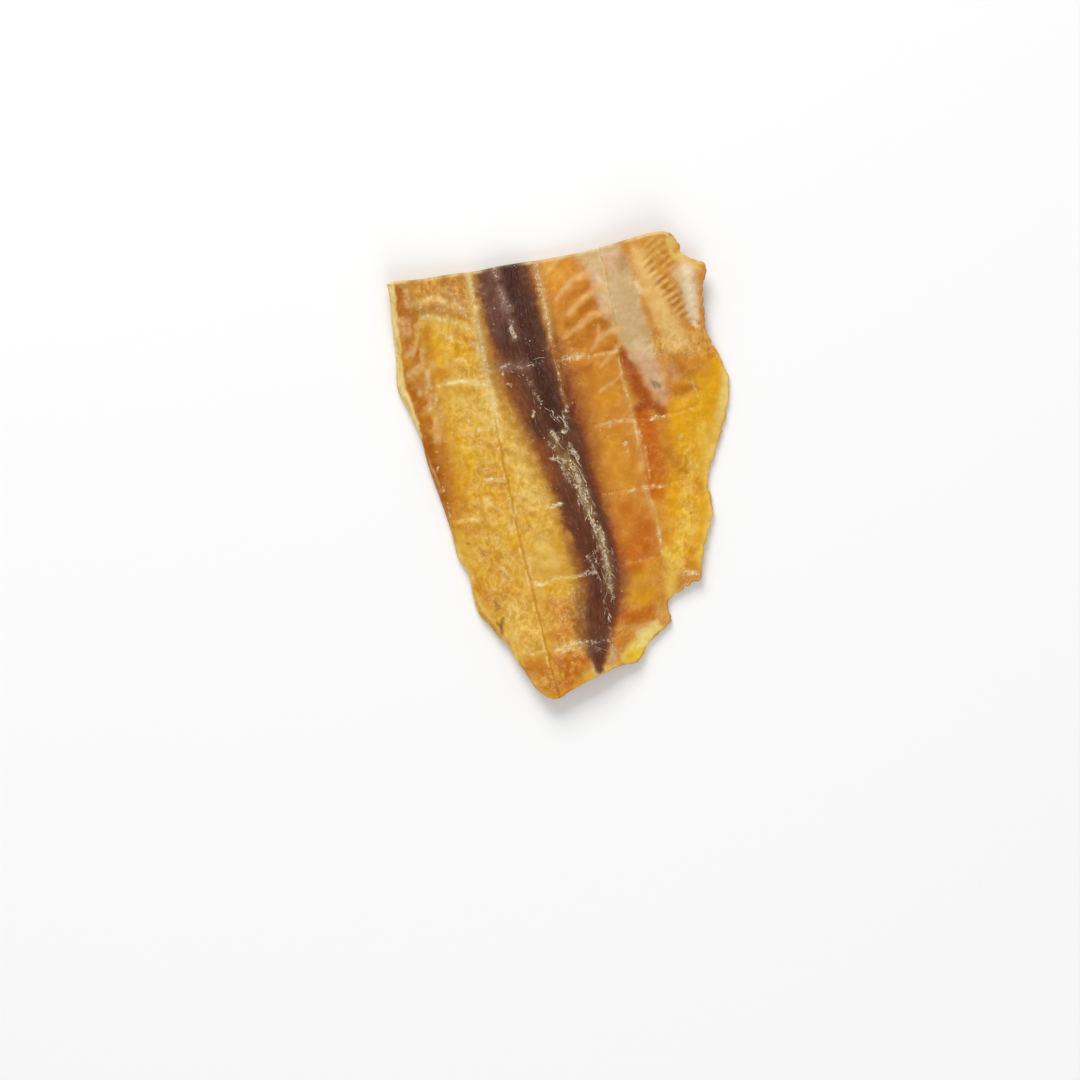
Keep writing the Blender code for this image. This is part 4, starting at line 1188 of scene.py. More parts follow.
# %% Mark the dry tissue in the band and the flecks elsewhere
CHALKY_TISSUE = (
    (0.62, ((493, 262, 5), (496, 274, 6), (500, 292, 7), (504, 302, 8), (509, 306, 7))),
    (0.55, ((483, 303, 4), (488, 304, 3))), (0.80, ((507, 314, 2), (511, 323, 3))),
    (1.10, ((510, 328, 3), (513, 333, 4), (515, 337, 3))), (0.50, ((514, 298, 4), (519, 296, 3))),
    (0.45, ((514, 350, 3), (518, 360, 3))), (1.20, ((503, 373, 3),)),
    (1.10, ((507, 384, 2), (511, 385, 2))),
    (0.55, ((517, 373, 4), (524, 376, 4))),
    (0.70, ((527, 377, 4), (532, 386, 5), (536, 394, 5), (541, 403, 5))),
    (1.05, ((534, 411, 2), (533, 416, 3))), (0.65, ((548, 410, 4), (557, 419, 4))),
    (0.75, ((562, 410, 3), (566, 420, 5), (565, 428, 5))), (1.40, ((564, 431, 4),)),
    (1.00, ((551, 431, 4), (557, 439, 5))), (0.85, ((549, 442, 3), (554, 450, 4))),
    (0.60, ((530, 440, 4),)),
    (0.95, ((569, 443, 3), (573, 450, 4), (578, 459, 3))), (1.00, ((575, 449, 2),)),
    (0.95, ((566, 405, 3), (567, 410, 4))), (0.80, ((568, 406, 2), (576, 401, 2))),
    (0.90, ((550, 459, 3), (560, 459, 4), (565, 462, 5))),
    (0.80, ((561, 464, 4), (566, 475, 6), (570, 481, 5))),
    (0.75, ((570, 460, 5), (577, 470, 7), (580, 482, 7))),
    (0.85, ((578, 482, 6), (583, 490, 8), (588, 505, 7))),
    (0.70, ((574, 484, 3), (579, 500, 3))), (0.60, ((590, 510, 6), (598, 516, 6))),
    (0.95, ((593, 522, 4), (597, 530, 6))),
    (1.00, ((600, 527, 4), (603, 541, 4), (602, 549, 4), (606, 558, 4), (607, 570, 3))),
    (0.55, ((592, 545, 5), (597, 560, 6), (602, 578, 5))),
    (0.70, ((604, 560, 5), (609, 578, 6), (614, 600, 5))),
    (0.80, ((588, 556, 4), (596, 574, 4))), (0.40, ((608, 545, 6), (614, 562, 6))),
    (0.60, ((604, 596, 2), (609, 618, 3), (613, 640, 4))),
    (0.70, ((595, 650, 3), (602, 652, 3))), (0.55, ((568, 530, 6), (573, 540, 5))),
    (1.25, ((625, 444, 4),)), (1.10, ((628, 452, 3),)), (0.95, ((610, 426, 3),)),
    (0.90, ((681, 437, 5),)),
    (1.20, ((685, 444, 2),)), (0.50, ((655, 450, 4), (661, 466, 5))), (0.75, ((690, 493, 4),)),
    (1.00, ((685, 573, 5), (697, 573, 5))), (0.80, ((688, 584, 5), (684, 578, 4))),
    (0.75, ((452, 340, 5),)),
    (0.85, ((475, 345, 5),)), (0.55, ((420, 317, 3), (432, 316, 4), (446, 321, 4))),
    (0.60, ((455, 325, 4), (463, 325, 4), (478, 335, 5))), (0.60, ((458, 304, 5), (467, 311, 5))),
    (0.60, ((435, 296, 3), (443, 301, 4))), (0.55, ((420, 305, 4), (427, 300, 4))),
    (1.00, ((433, 436, 2),)),
    (1.00, ((436, 452, 2),)), (0.95, ((438, 466, 2), (438, 471, 2))),
    (1.00, ((441, 486, 3), (443, 491, 2))),
    (0.95, ((447, 502, 2), (449, 509, 3), (450, 520, 2))), (0.90, ((500, 569, 2), (507, 576, 2))),
    (0.85, ((685, 270, 6), (690, 286, 6), (692, 306, 5))), (1.30, ((694, 322, 5), (698, 327, 4))),
    (0.85, ((636, 285, 3), (640, 293, 4))), (1.05, ((655, 354, 3),)),
    (0.85, ((671, 343, 5), (676, 343, 3))),
    (0.80, ((653, 328, 3), (651, 333, 2))), (0.90, ((626, 329, 2),)),
    (0.60, ((607, 668, 5), (616, 666, 4))),
    (0.60, ((617, 650, 5), (620, 656, 4))), (0.50, ((643, 626, 4), (657, 620, 4))),
    (0.60, ((404, 318, 4), (411, 322, 3))),
    (0.50, ((418, 362, 3), (412, 372, 4))), (0.75, ((440, 385, 4),)),
    (0.60, ((422, 407, 2), (428, 405, 2))),
)
print("chalky tissue:", len(CHALKY_TISSUE))

# %% Store the values on the points
def store(piece, name, values, kind="FLOAT"):
    """Keeps one value for each point of the mesh."""
    held = piece.data.attributes.new(name, kind, "POINT")
    key = {"FLOAT": "value", "FLOAT_VECTOR": "vector", "FLOAT_COLOR": "color"}[kind]
    held.data.foreach_set(key, np.ascontiguousarray(values, np.float32).ravel())


def wider(entries, times):
    """Strokes with their strengths, and with a wider reach."""
    return [(strength, [(x, y, times * reach) for x, y, reach in path]) for strength, path in entries]


on_top = np.where(is_under, 0.0, 1.0)
near = stirred(spots, 2.0, 6.0, 72)
chalk = weighed(near, wider(CHALKY_WIRES, 1.35) + wider(CHALKY_TISSUE, 1.5))
chalk = np.maximum(chalk, 0.85 * creased(spots))
crimped = how_crimped(spots)
in_band = ramp(band_cover, 0.05, 0.55)
store(flesh, "stain", np.column_stack([paint, np.ones(len(paint))]), "FLOAT_COLOR")
store(flesh, "fish", np.column_stack([across, along, all_points[:, 2]]), "FLOAT_VECTOR")
store(flesh, "long_wire", wire_number(spots, LONG_WIRES, False))
store(flesh, "cross_wire", wire_number(spots, CROSS_WIRES, True))
store(flesh, "pressed", weighed(spots, PRESSED, 0.8) * on_top)
store(flesh, "rubbed", strokes(spots, RUBBED, 0.8) * on_top)
store(flesh, "chalk", chalk * on_top)
store(flesh, "crimp", crimps(all_points, across, along) * crimped * (1 - 0.6 * in_band))
store(flesh, "crimped", crimped)
store(flesh, "band", in_band * on_top)
print("values stored:", [a.name for a in flesh.data.attributes if not a.is_internal])

# %% [markdown]
# ## Tools for materials
#
# A material is a tree of nodes. A few short functions keep the building of such a tree readable:
# one adds any node and joins its inputs, and the others are for the nodes used most.

# %% Write the node helpers
def add(tree, kind, inputs=(), **settings):
    """A node with its settings, each input set to a value or joined to another node's output."""
    made = tree.nodes.new(kind)
    for key, value in settings.items():
        setattr(made, key, value)
    for key, value in dict(inputs).items():
        if isinstance(value, bpy.types.NodeSocket):
            tree.links.new(value, made.inputs[key])
        else:
            made.inputs[key].default_value = value
    return made


def sums(tree, operation, a, b=0.0, c=0.0):
    """One step of arithmetic."""
    return add(tree, "ShaderNodeMath", {0: a, 1: b, 2: c}, operation=operation).outputs[0]


def times(tree, a, b):
    """One value times another."""
    return sums(tree, "MULTIPLY", a, b)


def span(tree, value, low, high, new_low=0.0, new_high=1.0):
    """A value moved smoothly from one range to another and held inside it."""
    inputs = {"Value": value, "From Min": low, "From Max": high, "To Min": new_low, "To Max": new_high}
    return add(tree, "ShaderNodeMapRange", inputs, interpolation_type="SMOOTHSTEP").outputs[0]


def blend(tree, share, a, b, way="MIX"):
    """Two colours blended."""
    inputs = {"Factor": share, 6: a, 7: b}
    return add(tree, "ShaderNodeMix", inputs, data_type="RGBA", blend_type=way).outputs[2]


def stored(tree, name, output="Fac"):
    """A value that was stored on the points."""
    return add(tree, "ShaderNodeAttribute", attribute_name=name).outputs[output]


def noise(tree, place, scale, detail=3.0, roughness=0.55, distortion=0.0):
    """Noise from 0 to 1."""
    inputs = {"Vector": place, "Scale": scale, "Detail": detail, "Roughness": roughness,
              "Distortion": distortion}
    return add(tree, "ShaderNodeTexNoise", inputs).outputs["Fac"]


def stretched(tree, place, turn=0.0, scale=(1.0, 1.0, 1.0)):
    """Places turned about the upright axis and then scaled."""
    inputs = {"Vector": place, "Rotation": (0.0, 0.0, turn)}
    turned = add(tree, "ShaderNodeMapping", inputs, vector_type="POINT").outputs[0]
    return add(tree, "ShaderNodeVectorMath", {0: turned, 1: scale}, operation="MULTIPLY").outputs[0]


def millimetres(tree):
    """The place on the piece in millimetres."""
    held = add(tree, "ShaderNodeTexCoord").outputs["Object"]
    return add(tree, "ShaderNodeVectorMath", {0: held, "Scale": 1 / MM}, operation="SCALE").outputs[0]


def colour(code):
    """A colour code as the four numbers that a socket takes."""
    return (*linear(code), 1.0)


def new_material(name):
    """An empty material with its shader and the shader's tree."""
    made = bpy.data.materials.new(name)
    made.use_nodes = True
    return made, made.node_tree, made.node_tree.nodes["Principled BSDF"]


def set_values(shader, values):
    """Sets values on the shader that are the same all over."""
    for socket, value in values.items():
        shader.inputs[socket].default_value = value


print("material helpers ready")

# %% [markdown]
# ## The dried flesh
#
# The stains come first. Over them lie, in this order: a slow change of tone; the crimps, whose crests are
# painted pale and whose hollows are painted deep and clear, partly the tone of the dried film and partly
# painted highlight and painted shade; fine folds, partly painted highlight and painted shade; dark and
# silky fibres along the band; the marks of the wires, with painted shade in the pressed grooves and a
# painted highlight on one lip; pale dots of salt; and the chalky places. A thin waxy coat and some
# scattering inside give the clear, horn-like look.

# %% Mottle the flesh
flesh_material, tree, shader = new_material("dried_flesh")
fish = stored(tree, "fish", "Vector")
stain = stored(tree, "stain", "Color")
in_band_value = stored(tree, "band")
place = millimetres(tree)

medium = noise(tree, place, 0.45, 4.0, 0.6, 0.4)
fine = noise(tree, place, 2.4, 4.0, 0.7)
deep = blend(tree, 1.0, stain, colour("e8d698"), "MULTIPLY")
lighter = blend(tree, 1.0, stain, (1.20, 1.18, 1.10, 1.0), "MULTIPLY")
pale_flesh = blend(tree, 0.28, lighter, colour("f6da6c"))
pale = blend(tree, in_band_value, pale_flesh, blend(tree, 0.26, stain, colour("9a7468")))
deep_show = sums(tree, "MULTIPLY_ADD", stored(tree, "crimped"), 0.5, 0.3)
deep_show = times(tree, span(tree, medium, 0.60, 0.36), deep_show)
skin = blend(tree, deep_show, stain, deep)
skin = blend(tree, span(tree, medium, 0.52, 0.74, 0.0, 0.38), skin, pale)
print("base tone done")

# %% Colour the crimps
streaks_a = noise(tree, stretched(tree, place, 1.05, (0.6, 1.9, 1.0)), 1.0, 5.0, 0.72, 0.35)
streaks_b = noise(tree, stretched(tree, place, -0.6, (0.7, 2.1, 1.0)), 1.0, 5.0, 0.72, 0.35)
streaks = sums(tree, "ADD", times(tree, streaks_a, 0.6), times(tree, streaks_b, 0.4))
patches = span(tree, noise(tree, place, 0.22, 3.0, 0.6), 0.38, 0.62, 0.25, 1.0)
streak_show = times(tree, times(tree, patches, 4.6), stored(tree, "crimped"))
finer = times(tree, sums(tree, "SUBTRACT", streaks, 0.5), streak_show)
crimp = sums(tree, "ADD", stored(tree, "crimp"), finer)
# Crests are painted paler and hollows deeper. This is partly the tone of the dried film, and partly painted
# highlight on the crests and painted shade in the hollows.
skin = blend(tree, span(tree, crimp, 0.05, 1.15, 0.0, 0.84), skin, pale)
skin = blend(tree, span(tree, crimp, 0.05, -1.15, 0.0, 0.60), skin, deep)
print("crimps done")

# %% Fold it finely
def fold(turn, scale, spread):
    """1 along fine, crooked folds: where a noise passes through its middle value."""
    value = noise(tree, stretched(tree, place, turn, scale), 1.0, 4.0, 0.65, 0.6)
    return span(tree, sums(tree, "ABSOLUTE", sums(tree, "SUBTRACT", value, 0.5)), spread, 0.0)


fold_places = span(tree, noise(tree, place, 0.33, 3.0, 0.6), 0.42, 0.58)
fold_show = times(tree, fold_places, stored(tree, "crimped"))
bare = sums(tree, "SUBTRACT", 1.0, in_band_value)
fold_show = times(tree, fold_show, bare)
whiter_tone_and_highlight = blend(tree, 0.52, lighter, colour("f8e8b8"))
# Painted shade and highlight: the fine folds have no relief. The line in the deep tone is painted shade of
# a fold, and the whiter lines are partly a whitish dried film and partly painted highlight on fold crests.
for turn, scale, spread, tone, show in (
    (0.95, (0.35, 1.05, 1.0), 0.035, deep, 0.45),
    (-0.55, (0.40, 1.10, 1.0), 0.035, whiter_tone_and_highlight, 0.55),
    (0.70, (0.55, 1.70, 1.0), 0.035, whiter_tone_and_highlight, 0.60),
    (-0.20, (0.80, 2.20, 1.0), 0.040, whiter_tone_and_highlight, 0.45),
):
    gaps = span(tree, noise(tree, place, 0.8 + turn / 5, 2.0), 0.42, 0.56)
    line = times(tree, fold(turn, scale, spread), times(tree, gaps, show))
    skin = blend(tree, times(tree, line, fold_show), skin, tone)
print("folds done")

# %% Draw the fibres of the dark band
fibres = noise(tree, stretched(tree, fish, 0.0, (2.6, 0.25, 1.0)), 1.0, 5.0, 0.7, 0.35)
fibre_dark = times(tree, span(tree, fibres, 0.52, 0.36), in_band_value)
skin = blend(tree, times(tree, fibre_dark, 0.35), skin, colour("3c2019"))
fibre_pale = times(tree, span(tree, fibres, 0.54, 0.72), in_band_value)
skin = blend(tree, times(tree, fibre_pale, 0.36), skin, colour("9a6a54"))
silk = noise(tree, stretched(tree, fish, 0.0, (5.0, 0.8, 1.0)), 1.0, 4.0, 0.75, 0.2)
silk_pale = times(tree, span(tree, silk, 0.55, 0.72), in_band_value)
skin = blend(tree, times(tree, silk_pale, 0.50), skin, colour("a08078"))
print("fibres done")

# %% Draw the wires' marks
def wire_gap(name, pitch, wobble):
    """Millimetres to the nearest wire, a little crooked."""
    share = sums(tree, "FRACT", sums(tree, "ADD", stored(tree, name), 0.5))
    gap = times(tree, sums(tree, "SUBTRACT", share, 0.5), pitch)
    return sums(tree, "ADD", gap, times(tree, sums(tree, "SUBTRACT", medium, 0.5), wobble))


long_gap = wire_gap("long_wire", LONG_PITCH, 1.0)
cross_gap = wire_gap("cross_wire", CROSS_PITCH, 1.2)
near_line = sums(tree, "MINIMUM", sums(tree, "ABSOLUTE", long_gap), sums(tree, "ABSOLUTE", cross_gap))
broken = span(tree, noise(tree, place, 0.9, 4.0, 0.75), 0.44, 0.60)
scratch = times(tree, span(tree, near_line, 0.28, 0.06), stored(tree, "rubbed"))
scratch = times(tree, scratch, broken)
skin = blend(tree, times(tree, scratch, 0.6), skin, pale)
# The dark line along a pressed groove is partly the deeper colour of the pressed flesh and partly painted
# shade of the groove.
thickness = span(tree, noise(tree, place, 0.28, 2.0), 0.35, 0.65, 0.22, 0.55)
pressed_line = sums(tree, "DIVIDE", sums(tree, "ABSOLUTE", long_gap), thickness)
pressed = times(tree, span(tree, pressed_line, 1.0, 0.2), stored(tree, "pressed"))
pressed_tone_and_shade = blend(tree, 1.0, stain, colour("e2bc50"), "MULTIPLY")
skin = blend(tree, times(tree, pressed, 1.0), skin, pressed_tone_and_shade)
# The pale lip on one side of a pressed groove is a painted highlight.
lip_gap = sums(tree, "ABSOLUTE", sums(tree, "ADD", long_gap, 0.5))
lip = times(tree, span(tree, lip_gap, 0.36, 0.05), stored(tree, "pressed"))
skin = blend(tree, times(tree, times(tree, lip, broken), 1.1), skin, whiter_tone_and_highlight)
print("wire marks done")

# %% Dot it with salt and chalk it
dots = add(tree, "ShaderNodeTexVoronoi", {"Vector": place, "Scale": 0.62, "Randomness": 1.0})
dot_pick = add(tree, "ShaderNodeSeparateColor", {"Color": dots.outputs["Color"]}).outputs
dot_size = span(tree, dot_pick[0], 0.5, 1.0, 0.0, 0.12)
dot = sums(tree, "LESS_THAN", dots.outputs["Distance"], dot_size)
skin = blend(tree, times(tree, dot, 0.45), skin, colour("f0d9a8"))

crust = noise(tree, place, 1.5, 5.0, 0.80, 0.8)
chalk_here = stored(tree, "chalk")
crust_drive = sums(tree, "ADD", times(tree, chalk_here, 0.30), crust)
crust_show = span(tree, crust_drive, 0.71, 0.81)
veil = noise(tree, place, 0.8, 3.0, 0.6)
chalk_strength = span(tree, veil, 0.35, 0.62, 0.50, 0.95)
chalk_strength = times(tree, chalk_strength, span(tree, chalk_here, 0.0, 0.2, 0.10, 1.0))
chalk_show = times(tree, crust_show, chalk_strength)
chalk_tone = blend(tree, in_band_value, colour("f8e8bc"), colour("f4e0c2"))
chalk_colour = blend(tree, 0.74, stain, chalk_tone)
skin = blend(tree, chalk_show, skin, chalk_colour)
print("dots and chalk done")

# %% Set the surface of the flesh
FLESH_SHEEN = {"IOR": 1.45, "Subsurface Weight": 0.2, "Subsurface Scale": 0.0011, "Coat Weight": 0.05,
               "Coat Roughness": 0.25, "Specular IOR Level": 0.14,
               "Subsurface Radius": (1.0, 0.5, 0.2)}
set_values(shader, FLESH_SHEEN)
uneven = sums(tree, "ADD", times(tree, fine, 0.5), times(tree, streaks, 1.2))
uneven = sums(tree, "ADD", uneven, times(tree, times(tree, fibres, in_band_value), 1.2))
uneven = sums(tree, "ADD", uneven, times(tree, chalk_show, 0.6))
bump = add(tree, "ShaderNodeBump", {"Strength": 0.5, "Distance": 0.00012, "Height": uneven}).outputs[0]
roughness = span(tree, chalk_show, 0.0, 1.0, 0.40, 0.75)
tree.links.new(skin, shader.inputs["Base Color"])
tree.links.new(roughness, shader.inputs["Roughness"])
tree.links.new(bump, shader.inputs["Normal"])
flesh.data.materials.append(flesh_material)
print("nodes in the flesh:", len(tree.nodes))

# %% [markdown]
# ## Dry fibres on the dark band
#
# Where the band was cut open, pale threads of connective tissue dried on top of it. They lie along
# the band in bundles, cross each other and are a little flattened. Painted lines would look flat
# from the side, so each thread is a thin tube of its own with a crooked path. A ray finds the
# height of the flesh under each of its points.

# %% Find the surface under a spot
flesh_tree = BVHTree.FromPolygons([Vector(p) for p in all_points], faces)
TOP_LIMIT = cad_box[1].z / MM - 0.01


def from_photo(spot):
    """The place in millimetres that shows at a pixel of the photograph."""
    return (np.asarray(spot, float) - MIDDLE_PIXEL) / (PIXELS_PER_MM, -PIXELS_PER_MM)


def surface_under(place):
    """The height of the flesh under a place in millimetres, or None beside the piece."""
    hit = flesh_tree.ray_cast(Vector((place[0], place[1], FAR)), Vector((0, 0, -1)))[0]
    return None if hit is None else hit.z


def along_path(path, share):
    """The spot, reach and direction at a share of the way along a stroke."""
    nodes = np.array(path if len(path) > 1 else path * 2, float)
    legs = np.hypot(*np.diff(nodes[:, :2], axis=0).T) + 1e-6
    reached = np.concatenate([[0], np.cumsum(legs)])
    way = share * reached[-1]
    x, y, reach = (np.interp(way, reached, nodes[:, k]) for k in range(3))
    leg = min(np.searchsorted(reached, way, side="right") - 1, len(legs) - 1)
    step = nodes[leg + 1, :2] - nodes[leg, :2]
    return np.array([x, y]), reach, np.arctan2(step[1], step[0]) if len(path) > 1 else 1.2


print("height under the middle:", round(surface_under((0.0, 0.0)), 2), "mm")

# %% Grow the threads
BUNDLES = (  # how many threads, how grey, and a stroke
    (3, 0.6, ((493, 262, 4), (498, 283, 5), (505, 303, 6))), (2, 0.5, ((508, 312, 4), (512, 336, 4))),
    (4, 0.4, ((508, 366, 4), (550, 361, 4))),
    (7, 0.5, ((520, 374, 4), (532, 388, 5), (541, 404, 5))), (2, 0.2, ((534, 409, 3), (532, 418, 2))),
    (5, 0.5, ((546, 408, 4), (558, 420, 5))), (6, 0.6, ((563, 408, 3), (566, 420, 4), (564, 434, 4))),
    (6, 0.2, ((550, 430, 4), (558, 442, 5), (553, 450, 4))), (6, 0.3, ((549, 459, 3), (565, 460, 4))),
    (8, 0.6, ((561, 464, 4), (572, 482, 5))), (8, 0.2, ((567, 444, 5), (578, 462, 6))),
    (16, 0.0, ((569, 458, 6), (578, 474, 7), (581, 490, 7))),
    (18, 0.1, ((577, 480, 7), (587, 502, 7), (590, 514, 6))),
    (7, 0.6, ((573, 484, 4), (581, 508, 5))), (9, 0.3, ((588, 512, 6), (597, 532, 7))),
    (16, 0.3, ((597, 526, 5), (603, 548, 6), (606, 558, 5))),
    (7, 0.3, ((591, 540, 5), (596, 564, 6), (602, 580, 5))),
    (12, 0.4, ((603, 556, 6), (608, 580, 6), (613, 606, 5))), (5, 0.7, ((608, 540, 5), (615, 566, 5))),
    (9, 0.4, ((597, 576, 1), (603, 596, 1), (609, 620, 1), (612, 642, 1))),
    (4, 0.5, ((592, 646, 4), (604, 652, 4))),
)
CREAM_THREAD, GREY_THREAD, AMBER_THREAD = linear("f2e6c0"), linear("bca89c"), linear("8e6038")
SHORTEST, LONGEST = 0.8, 5.5  # mm
USUAL_RADIUS = 0.08  # mm
STEP = 0.16  # mm between two points of a thread
SIDES = 6
chance = np.random.default_rng(17)


def strewn(entries, spread):
    """For each thread or fleck the entry's second value, a place in mm and the stroke's direction."""
    for number, second, path in entries:
        for _ in range(number):
            spot, reach, heading = along_path(path, chance.uniform())
            yield second, from_photo(spot + chance.normal(0, spread * reach, 2)), heading


def thread(start, heading, length, radius):
    """Points and radii of one crooked thread in millimetres, or None where it would leave the piece."""
    count = max(int(length / STEP), 5)
    bends = 0.34 * np.cumsum(chance.normal(0, 0.26, count)) + chance.normal(0, 0.2, count)
    steps = np.column_stack([np.cos(heading + bends), -np.sin(heading + bends)]) * length / count
    line = start + np.cumsum(steps, axis=0)
    under = [surface_under(place) for place in line]
    if None in under:
        return None
    share = np.linspace(0, 1, count)
    lane = np.full(count, chance.uniform(0, 90))
    knots = 1 + 0.7 * lumps(np.column_stack([share * length, lane]), 0.7, 5)
    thick = radius * (0.15 + 0.85 * np.sin(np.pi * share)) * np.maximum(knots, 0.3)
    height = np.minimum(np.array(under) + 0.2 * thick, TOP_LIMIT - thick)
    return np.column_stack([line, height]), thick


def tube(line, thick, first):
    """Points and faces of a flattened tube, whose first point gets the number first."""
    ahead = np.gradient(line[:, :2], axis=0)
    ahead /= np.linalg.norm(ahead, axis=1)[:, None] + 1e-9
    beside = np.column_stack([-ahead[:, 1], ahead[:, 0], np.zeros(len(line))])
    turn = np.arange(SIDES) * 2 * np.pi / SIDES
    ring = np.cos(turn)[None, :, None] * beside[:, None]
    ring = ring + np.array([0, 0, 0.5]) * np.sin(turn)[None, :, None]
    points = (line[:, None] + ring * thick[:, None, None]).reshape(-1, 3)
    made = []
    for k in range(len(line) - 1):
        for side in range(SIDES):
            a, b = first + k * SIDES + side, first + k * SIDES + (side + 1) % SIDES
            made.append((a, b, b + SIDES, a + SIDES))
    made.append(tuple(first + side for side in range(SIDES))[::-1])
    made.append(tuple(first + (len(line) - 1) * SIDES + side for side in range(SIDES)))
    return points, made


def tinted(name, points, faces, tints):
    """A mesh object made of many scraps, whose points keep their scrap's tint."""
    made = mesh_from(name, np.vstack(points), faces)
    tint = np.vstack([np.repeat(one, len(held), axis=0) for one, held in zip(tints, points)])
    store(made, "tint", np.column_stack([tint, np.ones(len(tint))]), "FLOAT_COLOR")
    return made


thread_points, thread_faces, thread_tints = [], [], []
for greyness, start, heading in strewn(BUNDLES, 0.40):
    length = np.clip(chance.lognormal(0.7, 0.5), SHORTEST, LONGEST)
    heading += chance.normal(0, 0.18)
    made = thread(start, heading, length, USUAL_RADIUS * chance.lognormal(0, 0.4))
    if made is None:
        continue
    points, tube_faces = tube(*made, sum(len(held) for held in thread_points))
    grey_share = np.clip(greyness + chance.normal(0, 0.2), 0, 1)
    tint = toward(CREAM_THREAD[None], [grey_share], GREY_THREAD)
    thread_points.append(points)
    thread_faces += tube_faces
    thread_tints.append(toward(tint, [0.9 * chance.uniform()], AMBER_THREAD))
threads = tinted("dry_threads", thread_points, thread_faces, thread_tints)
print("threads:", len(thread_tints), "faces:", len(thread_faces))

# %% [markdown]
# ## Flecks
#
# The brightest marks are not paint but small scraps: bits of dry tissue and grains of salt, the
# largest a millimetre wide, that sit on the surface and catch the light. Each is a ragged chip
# with its own outline, pressed a little into the flesh. Like the threads they lie in known
# places, so they are strewn along strokes.

# %% Strew the flecks
FLECKS = (  # how many, how wide in mm, and a stroke
    (2, 1.0, ((563, 430, 2), (565, 434, 2))), (2, 0.6, ((557, 418, 2), (556, 421, 2))),
    (2, 0.5, ((541, 402, 3),)),
    (1, 0.6, ((533, 416, 1),)), (1, 0.5, ((567, 407, 1),)), (3, 0.7, ((511, 329, 3), (513, 334, 2))),
    (1, 0.6, ((503, 373, 1),)), (2, 0.4, ((507, 384, 2), (511, 385, 2))), (2, 0.9, ((625, 444, 2),)),
    (1, 0.6, ((628, 452, 1),)), (2, 0.5, ((610, 426, 3),)), (2, 0.7, ((589, 356, 1),)),
    (3, 1.1, ((556, 506, 2), (561, 504, 2))), (3, 0.6, ((533, 583, 2), (541, 585, 3))),
    (3, 0.5, ((503, 366, 2), (511, 364, 2))), (4, 0.6, ((564, 360, 4), (580, 357, 4))),
    (6, 0.5, ((551, 432, 4), (557, 441, 4), (553, 449, 3))), (5, 0.5, ((563, 412, 3), (566, 428, 3))),
    (6, 0.6, ((549, 459, 3), (566, 461, 4))), (10, 0.7, ((571, 462, 5), (580, 478, 6))),
    (12, 0.7, ((578, 482, 6), (588, 504, 6))), (7, 0.6, ((591, 516, 4), (598, 532, 4))),
    (8, 0.6, ((602, 532, 3), (604, 548, 4), (607, 562, 3))), (6, 0.4, ((606, 570, 4), (613, 600, 4))),
    (3, 0.5, ((644, 486, 2), (648, 489, 2))), (3, 0.4, ((628, 492, 2), (634, 490, 2))),
    (3, 0.5, ((652, 419, 2), (663, 416, 2))), (2, 0.6, ((681, 437, 3),)),
    (3, 0.6, ((684, 573, 3), (696, 573, 3))),
    (2, 0.8, ((694, 322, 3), (698, 327, 2))), (2, 0.7, ((637, 286, 2), (640, 291, 2))),
    (1, 0.5, ((655, 354, 1),)),
    (5, 0.4, ((493, 268, 4), (505, 303, 4))), (4, 0.4, ((566, 646, 3), (592, 641, 3))),
    (5, 0.3, ((440, 460, 3), (449, 512, 3))),
    (70, 0.18, ((600, 420, 30), (636, 520, 30), (640, 570, 28))),
    (30, 0.2, ((560, 610, 26), (560, 660, 20))), (24, 0.2, ((510, 300, 18), (560, 420, 18))),
    (40, 0.2, ((680, 350, 34), (700, 470, 22))), (24, 0.2, ((440, 300, 30), (470, 400, 26))),
    (24, 0.2, ((490, 560, 30), (540, 470, 30))),
)
FLECK_SIDES = 7
THIN, PRESSED_IN = 0.06, 0.05  # mm: the thinnest fleck, and how deep its rim lies
CREAM_FLECK, WHITE_FLECK = linear("ecd8a8"), linear("f6ead2")


def fleck(place, width, heading):
    """Points and faces of a small ragged chip, or None where it would leave the piece."""
    turn = (np.arange(FLECK_SIDES) + chance.uniform(-0.3, 0.3, FLECK_SIDES)) * 2 * np.pi / FLECK_SIDES
    reach = 0.5 * width * chance.uniform(0.5, 1.0, FLECK_SIDES)
    along_it, across_it = 1.25 * reach * np.cos(turn), 0.7 * reach * np.sin(turn)
    offset = np.column_stack([along_it * np.cos(heading) - across_it * np.sin(heading),
                              -along_it * np.sin(heading) - across_it * np.cos(heading)])[::-1]
    under = [surface_under(spot) for spot in place + offset]
    if None in under:
        return None
    under = np.array(under)
    rise = THIN + 0.12 * width * chance.uniform(0.4, 1.2, FLECK_SIDES)
    rise = np.minimum(rise, TOP_LIMIT - under)
    low = np.column_stack([place + offset, under - PRESSED_IN])
    high = np.column_stack([place + 0.72 * offset, under + 0.7 * rise])
    centre = np.append(place, (under + rise).mean())
    steps = [(k, (k + 1) % FLECK_SIDES) for k in range(FLECK_SIDES)]
    made = [(a, b, b + FLECK_SIDES, a + FLECK_SIDES) for a, b in steps]
    made += [(a + FLECK_SIDES, b + FLECK_SIDES, 2 * FLECK_SIDES) for a, b in steps]
    made.append(tuple(range(FLECK_SIDES))[::-1])
    return np.vstack([low, high, centre]), made


fleck_points, fleck_faces, fleck_tints = [], [], []
for width, spot, heading in strewn(FLECKS, 0.45):
    made = fleck(spot, width * chance.uniform(0.7, 1.2), heading + chance.normal(0, 0.5))
    if made is None:
        continue
    first = sum(len(held) for held in fleck_points)
    fleck_points.append(made[0])
    fleck_faces += [tuple(first + k for k in face) for face in made[1]]
    fleck_tints.append(toward(CREAM_FLECK[None], [chance.uniform()], WHITE_FLECK))
flecks = tinted("dry_flecks", fleck_points, fleck_faces, fleck_tints)
print("flecks:", len(fleck_tints), "faces:", len(fleck_faces))

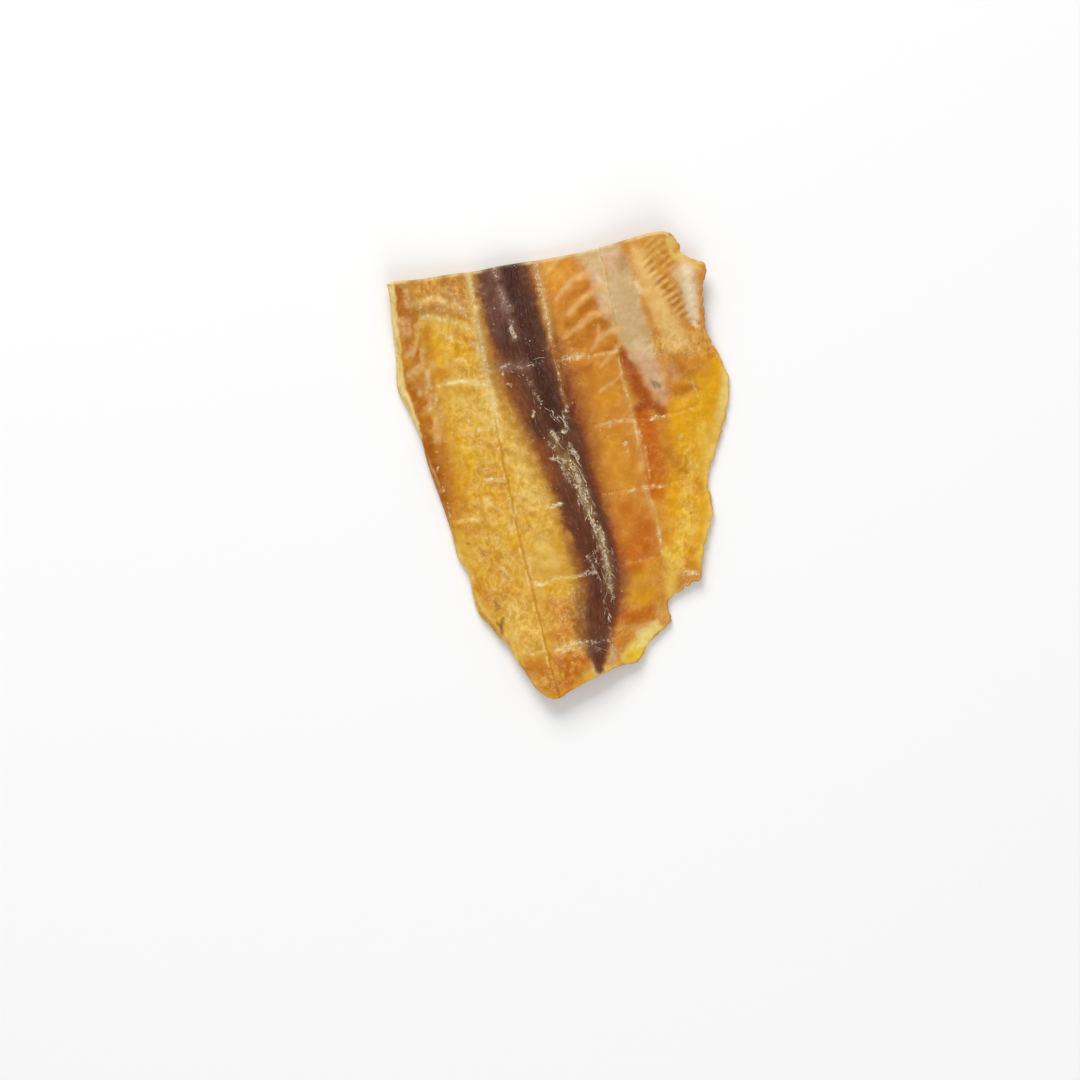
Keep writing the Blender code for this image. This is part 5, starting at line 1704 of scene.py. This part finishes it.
# %% Colour the threads and flecks
THREAD_SHEEN = {"Subsurface Weight": 0.3, "Subsurface Scale": 0.0004,
                "Subsurface Radius": (1.0, 0.7, 0.4), "Specular IOR Level": 0.35}
thread_material, tree, shader = new_material("dry_threads")
grain = noise(tree, millimetres(tree), 3.0, 3.0, 0.6)
tint = stored(tree, "tint", "Color")
darker = blend(tree, 1.0, tint, colour("c9a070"), "MULTIPLY")
shade = blend(tree, span(tree, grain, 0.55, 0.32), tint, darker)
tree.links.new(shade, shader.inputs["Base Color"])
tree.links.new(span(tree, grain, 0.3, 0.7, 0.42, 0.65), shader.inputs["Roughness"])
bump = add(tree, "ShaderNodeBump", {"Strength": 0.3, "Distance": 0.00004, "Height": grain}).outputs[0]
tree.links.new(bump, shader.inputs["Normal"])
set_values(shader, THREAD_SHEEN)
for piece in (threads, flecks):
    piece.data.materials.append(thread_material)
print("nodes in the threads:", len(tree.nodes))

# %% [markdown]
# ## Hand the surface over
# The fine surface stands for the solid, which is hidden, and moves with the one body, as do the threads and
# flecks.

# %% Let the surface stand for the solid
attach(flesh, "root")
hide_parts("cod_piece")
for piece in (threads, flecks):
    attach(piece, "root")

# %% [markdown]
# ## Floor and light
#
# The photograph has a plain white ground and soft light from all round, with a little more from
# the head end, so that ridges have a bright upper flank. A wide lamp at the head end, a weaker one
# at the tail end and a pale sky do that.

# %% Build the studio
def soft_lamp(name, place, size, power):
    """A square lamp that faces the piece."""
    lamp = bpy.data.lights.new(name, "AREA")
    lamp.size = size
    lamp.energy = power
    made = bpy.data.objects.new(name, lamp)
    made.location = place
    made.rotation_euler = (-Vector(place)).to_track_quat("-Z", "Y").to_euler()
    bpy.context.scene.collection.objects.link(made)
    return made


FLOOR_HALF = 1.5  # metres
FLOOR_GAP = 0.0001  # metres under the piece
floor_mesh = bpy.data.meshes.new("floor")
ways = ((-1, -1), (1, -1), (1, 1), (-1, 1))
corners = [(x * FLOOR_HALF, y * FLOOR_HALF, -FLOOR_GAP) for x, y in ways]
floor_mesh.from_pydata(corners, [], [(0, 1, 2, 3)])
floor = bpy.data.objects.new("floor", floor_mesh)
bpy.context.scene.collection.objects.link(floor)
floor_material, _, floor_shader = new_material("white_ground")
set_values(floor_shader, {"Base Color": (0.93, 0.93, 0.93, 1.0), "Roughness": 0.9})
floor_mesh.materials.append(floor_material)

soft_lamp("head_end", (-0.30, 0.95, 0.80), 0.7, 12.0)
soft_lamp("tail_end", (0.25, -0.95, 0.75), 0.9, 5.0)
sky = bpy.data.worlds.new("sky")
sky.use_nodes = True
sky.node_tree.nodes["Background"].inputs["Color"].default_value = (1.0, 1.0, 1.0, 1.0)
sky.node_tree.nodes["Background"].inputs["Strength"].default_value = 0.45
bpy.context.scene.world = sky
bpy.context.scene.view_settings.view_transform = "Standard"
print("lamps: 2")
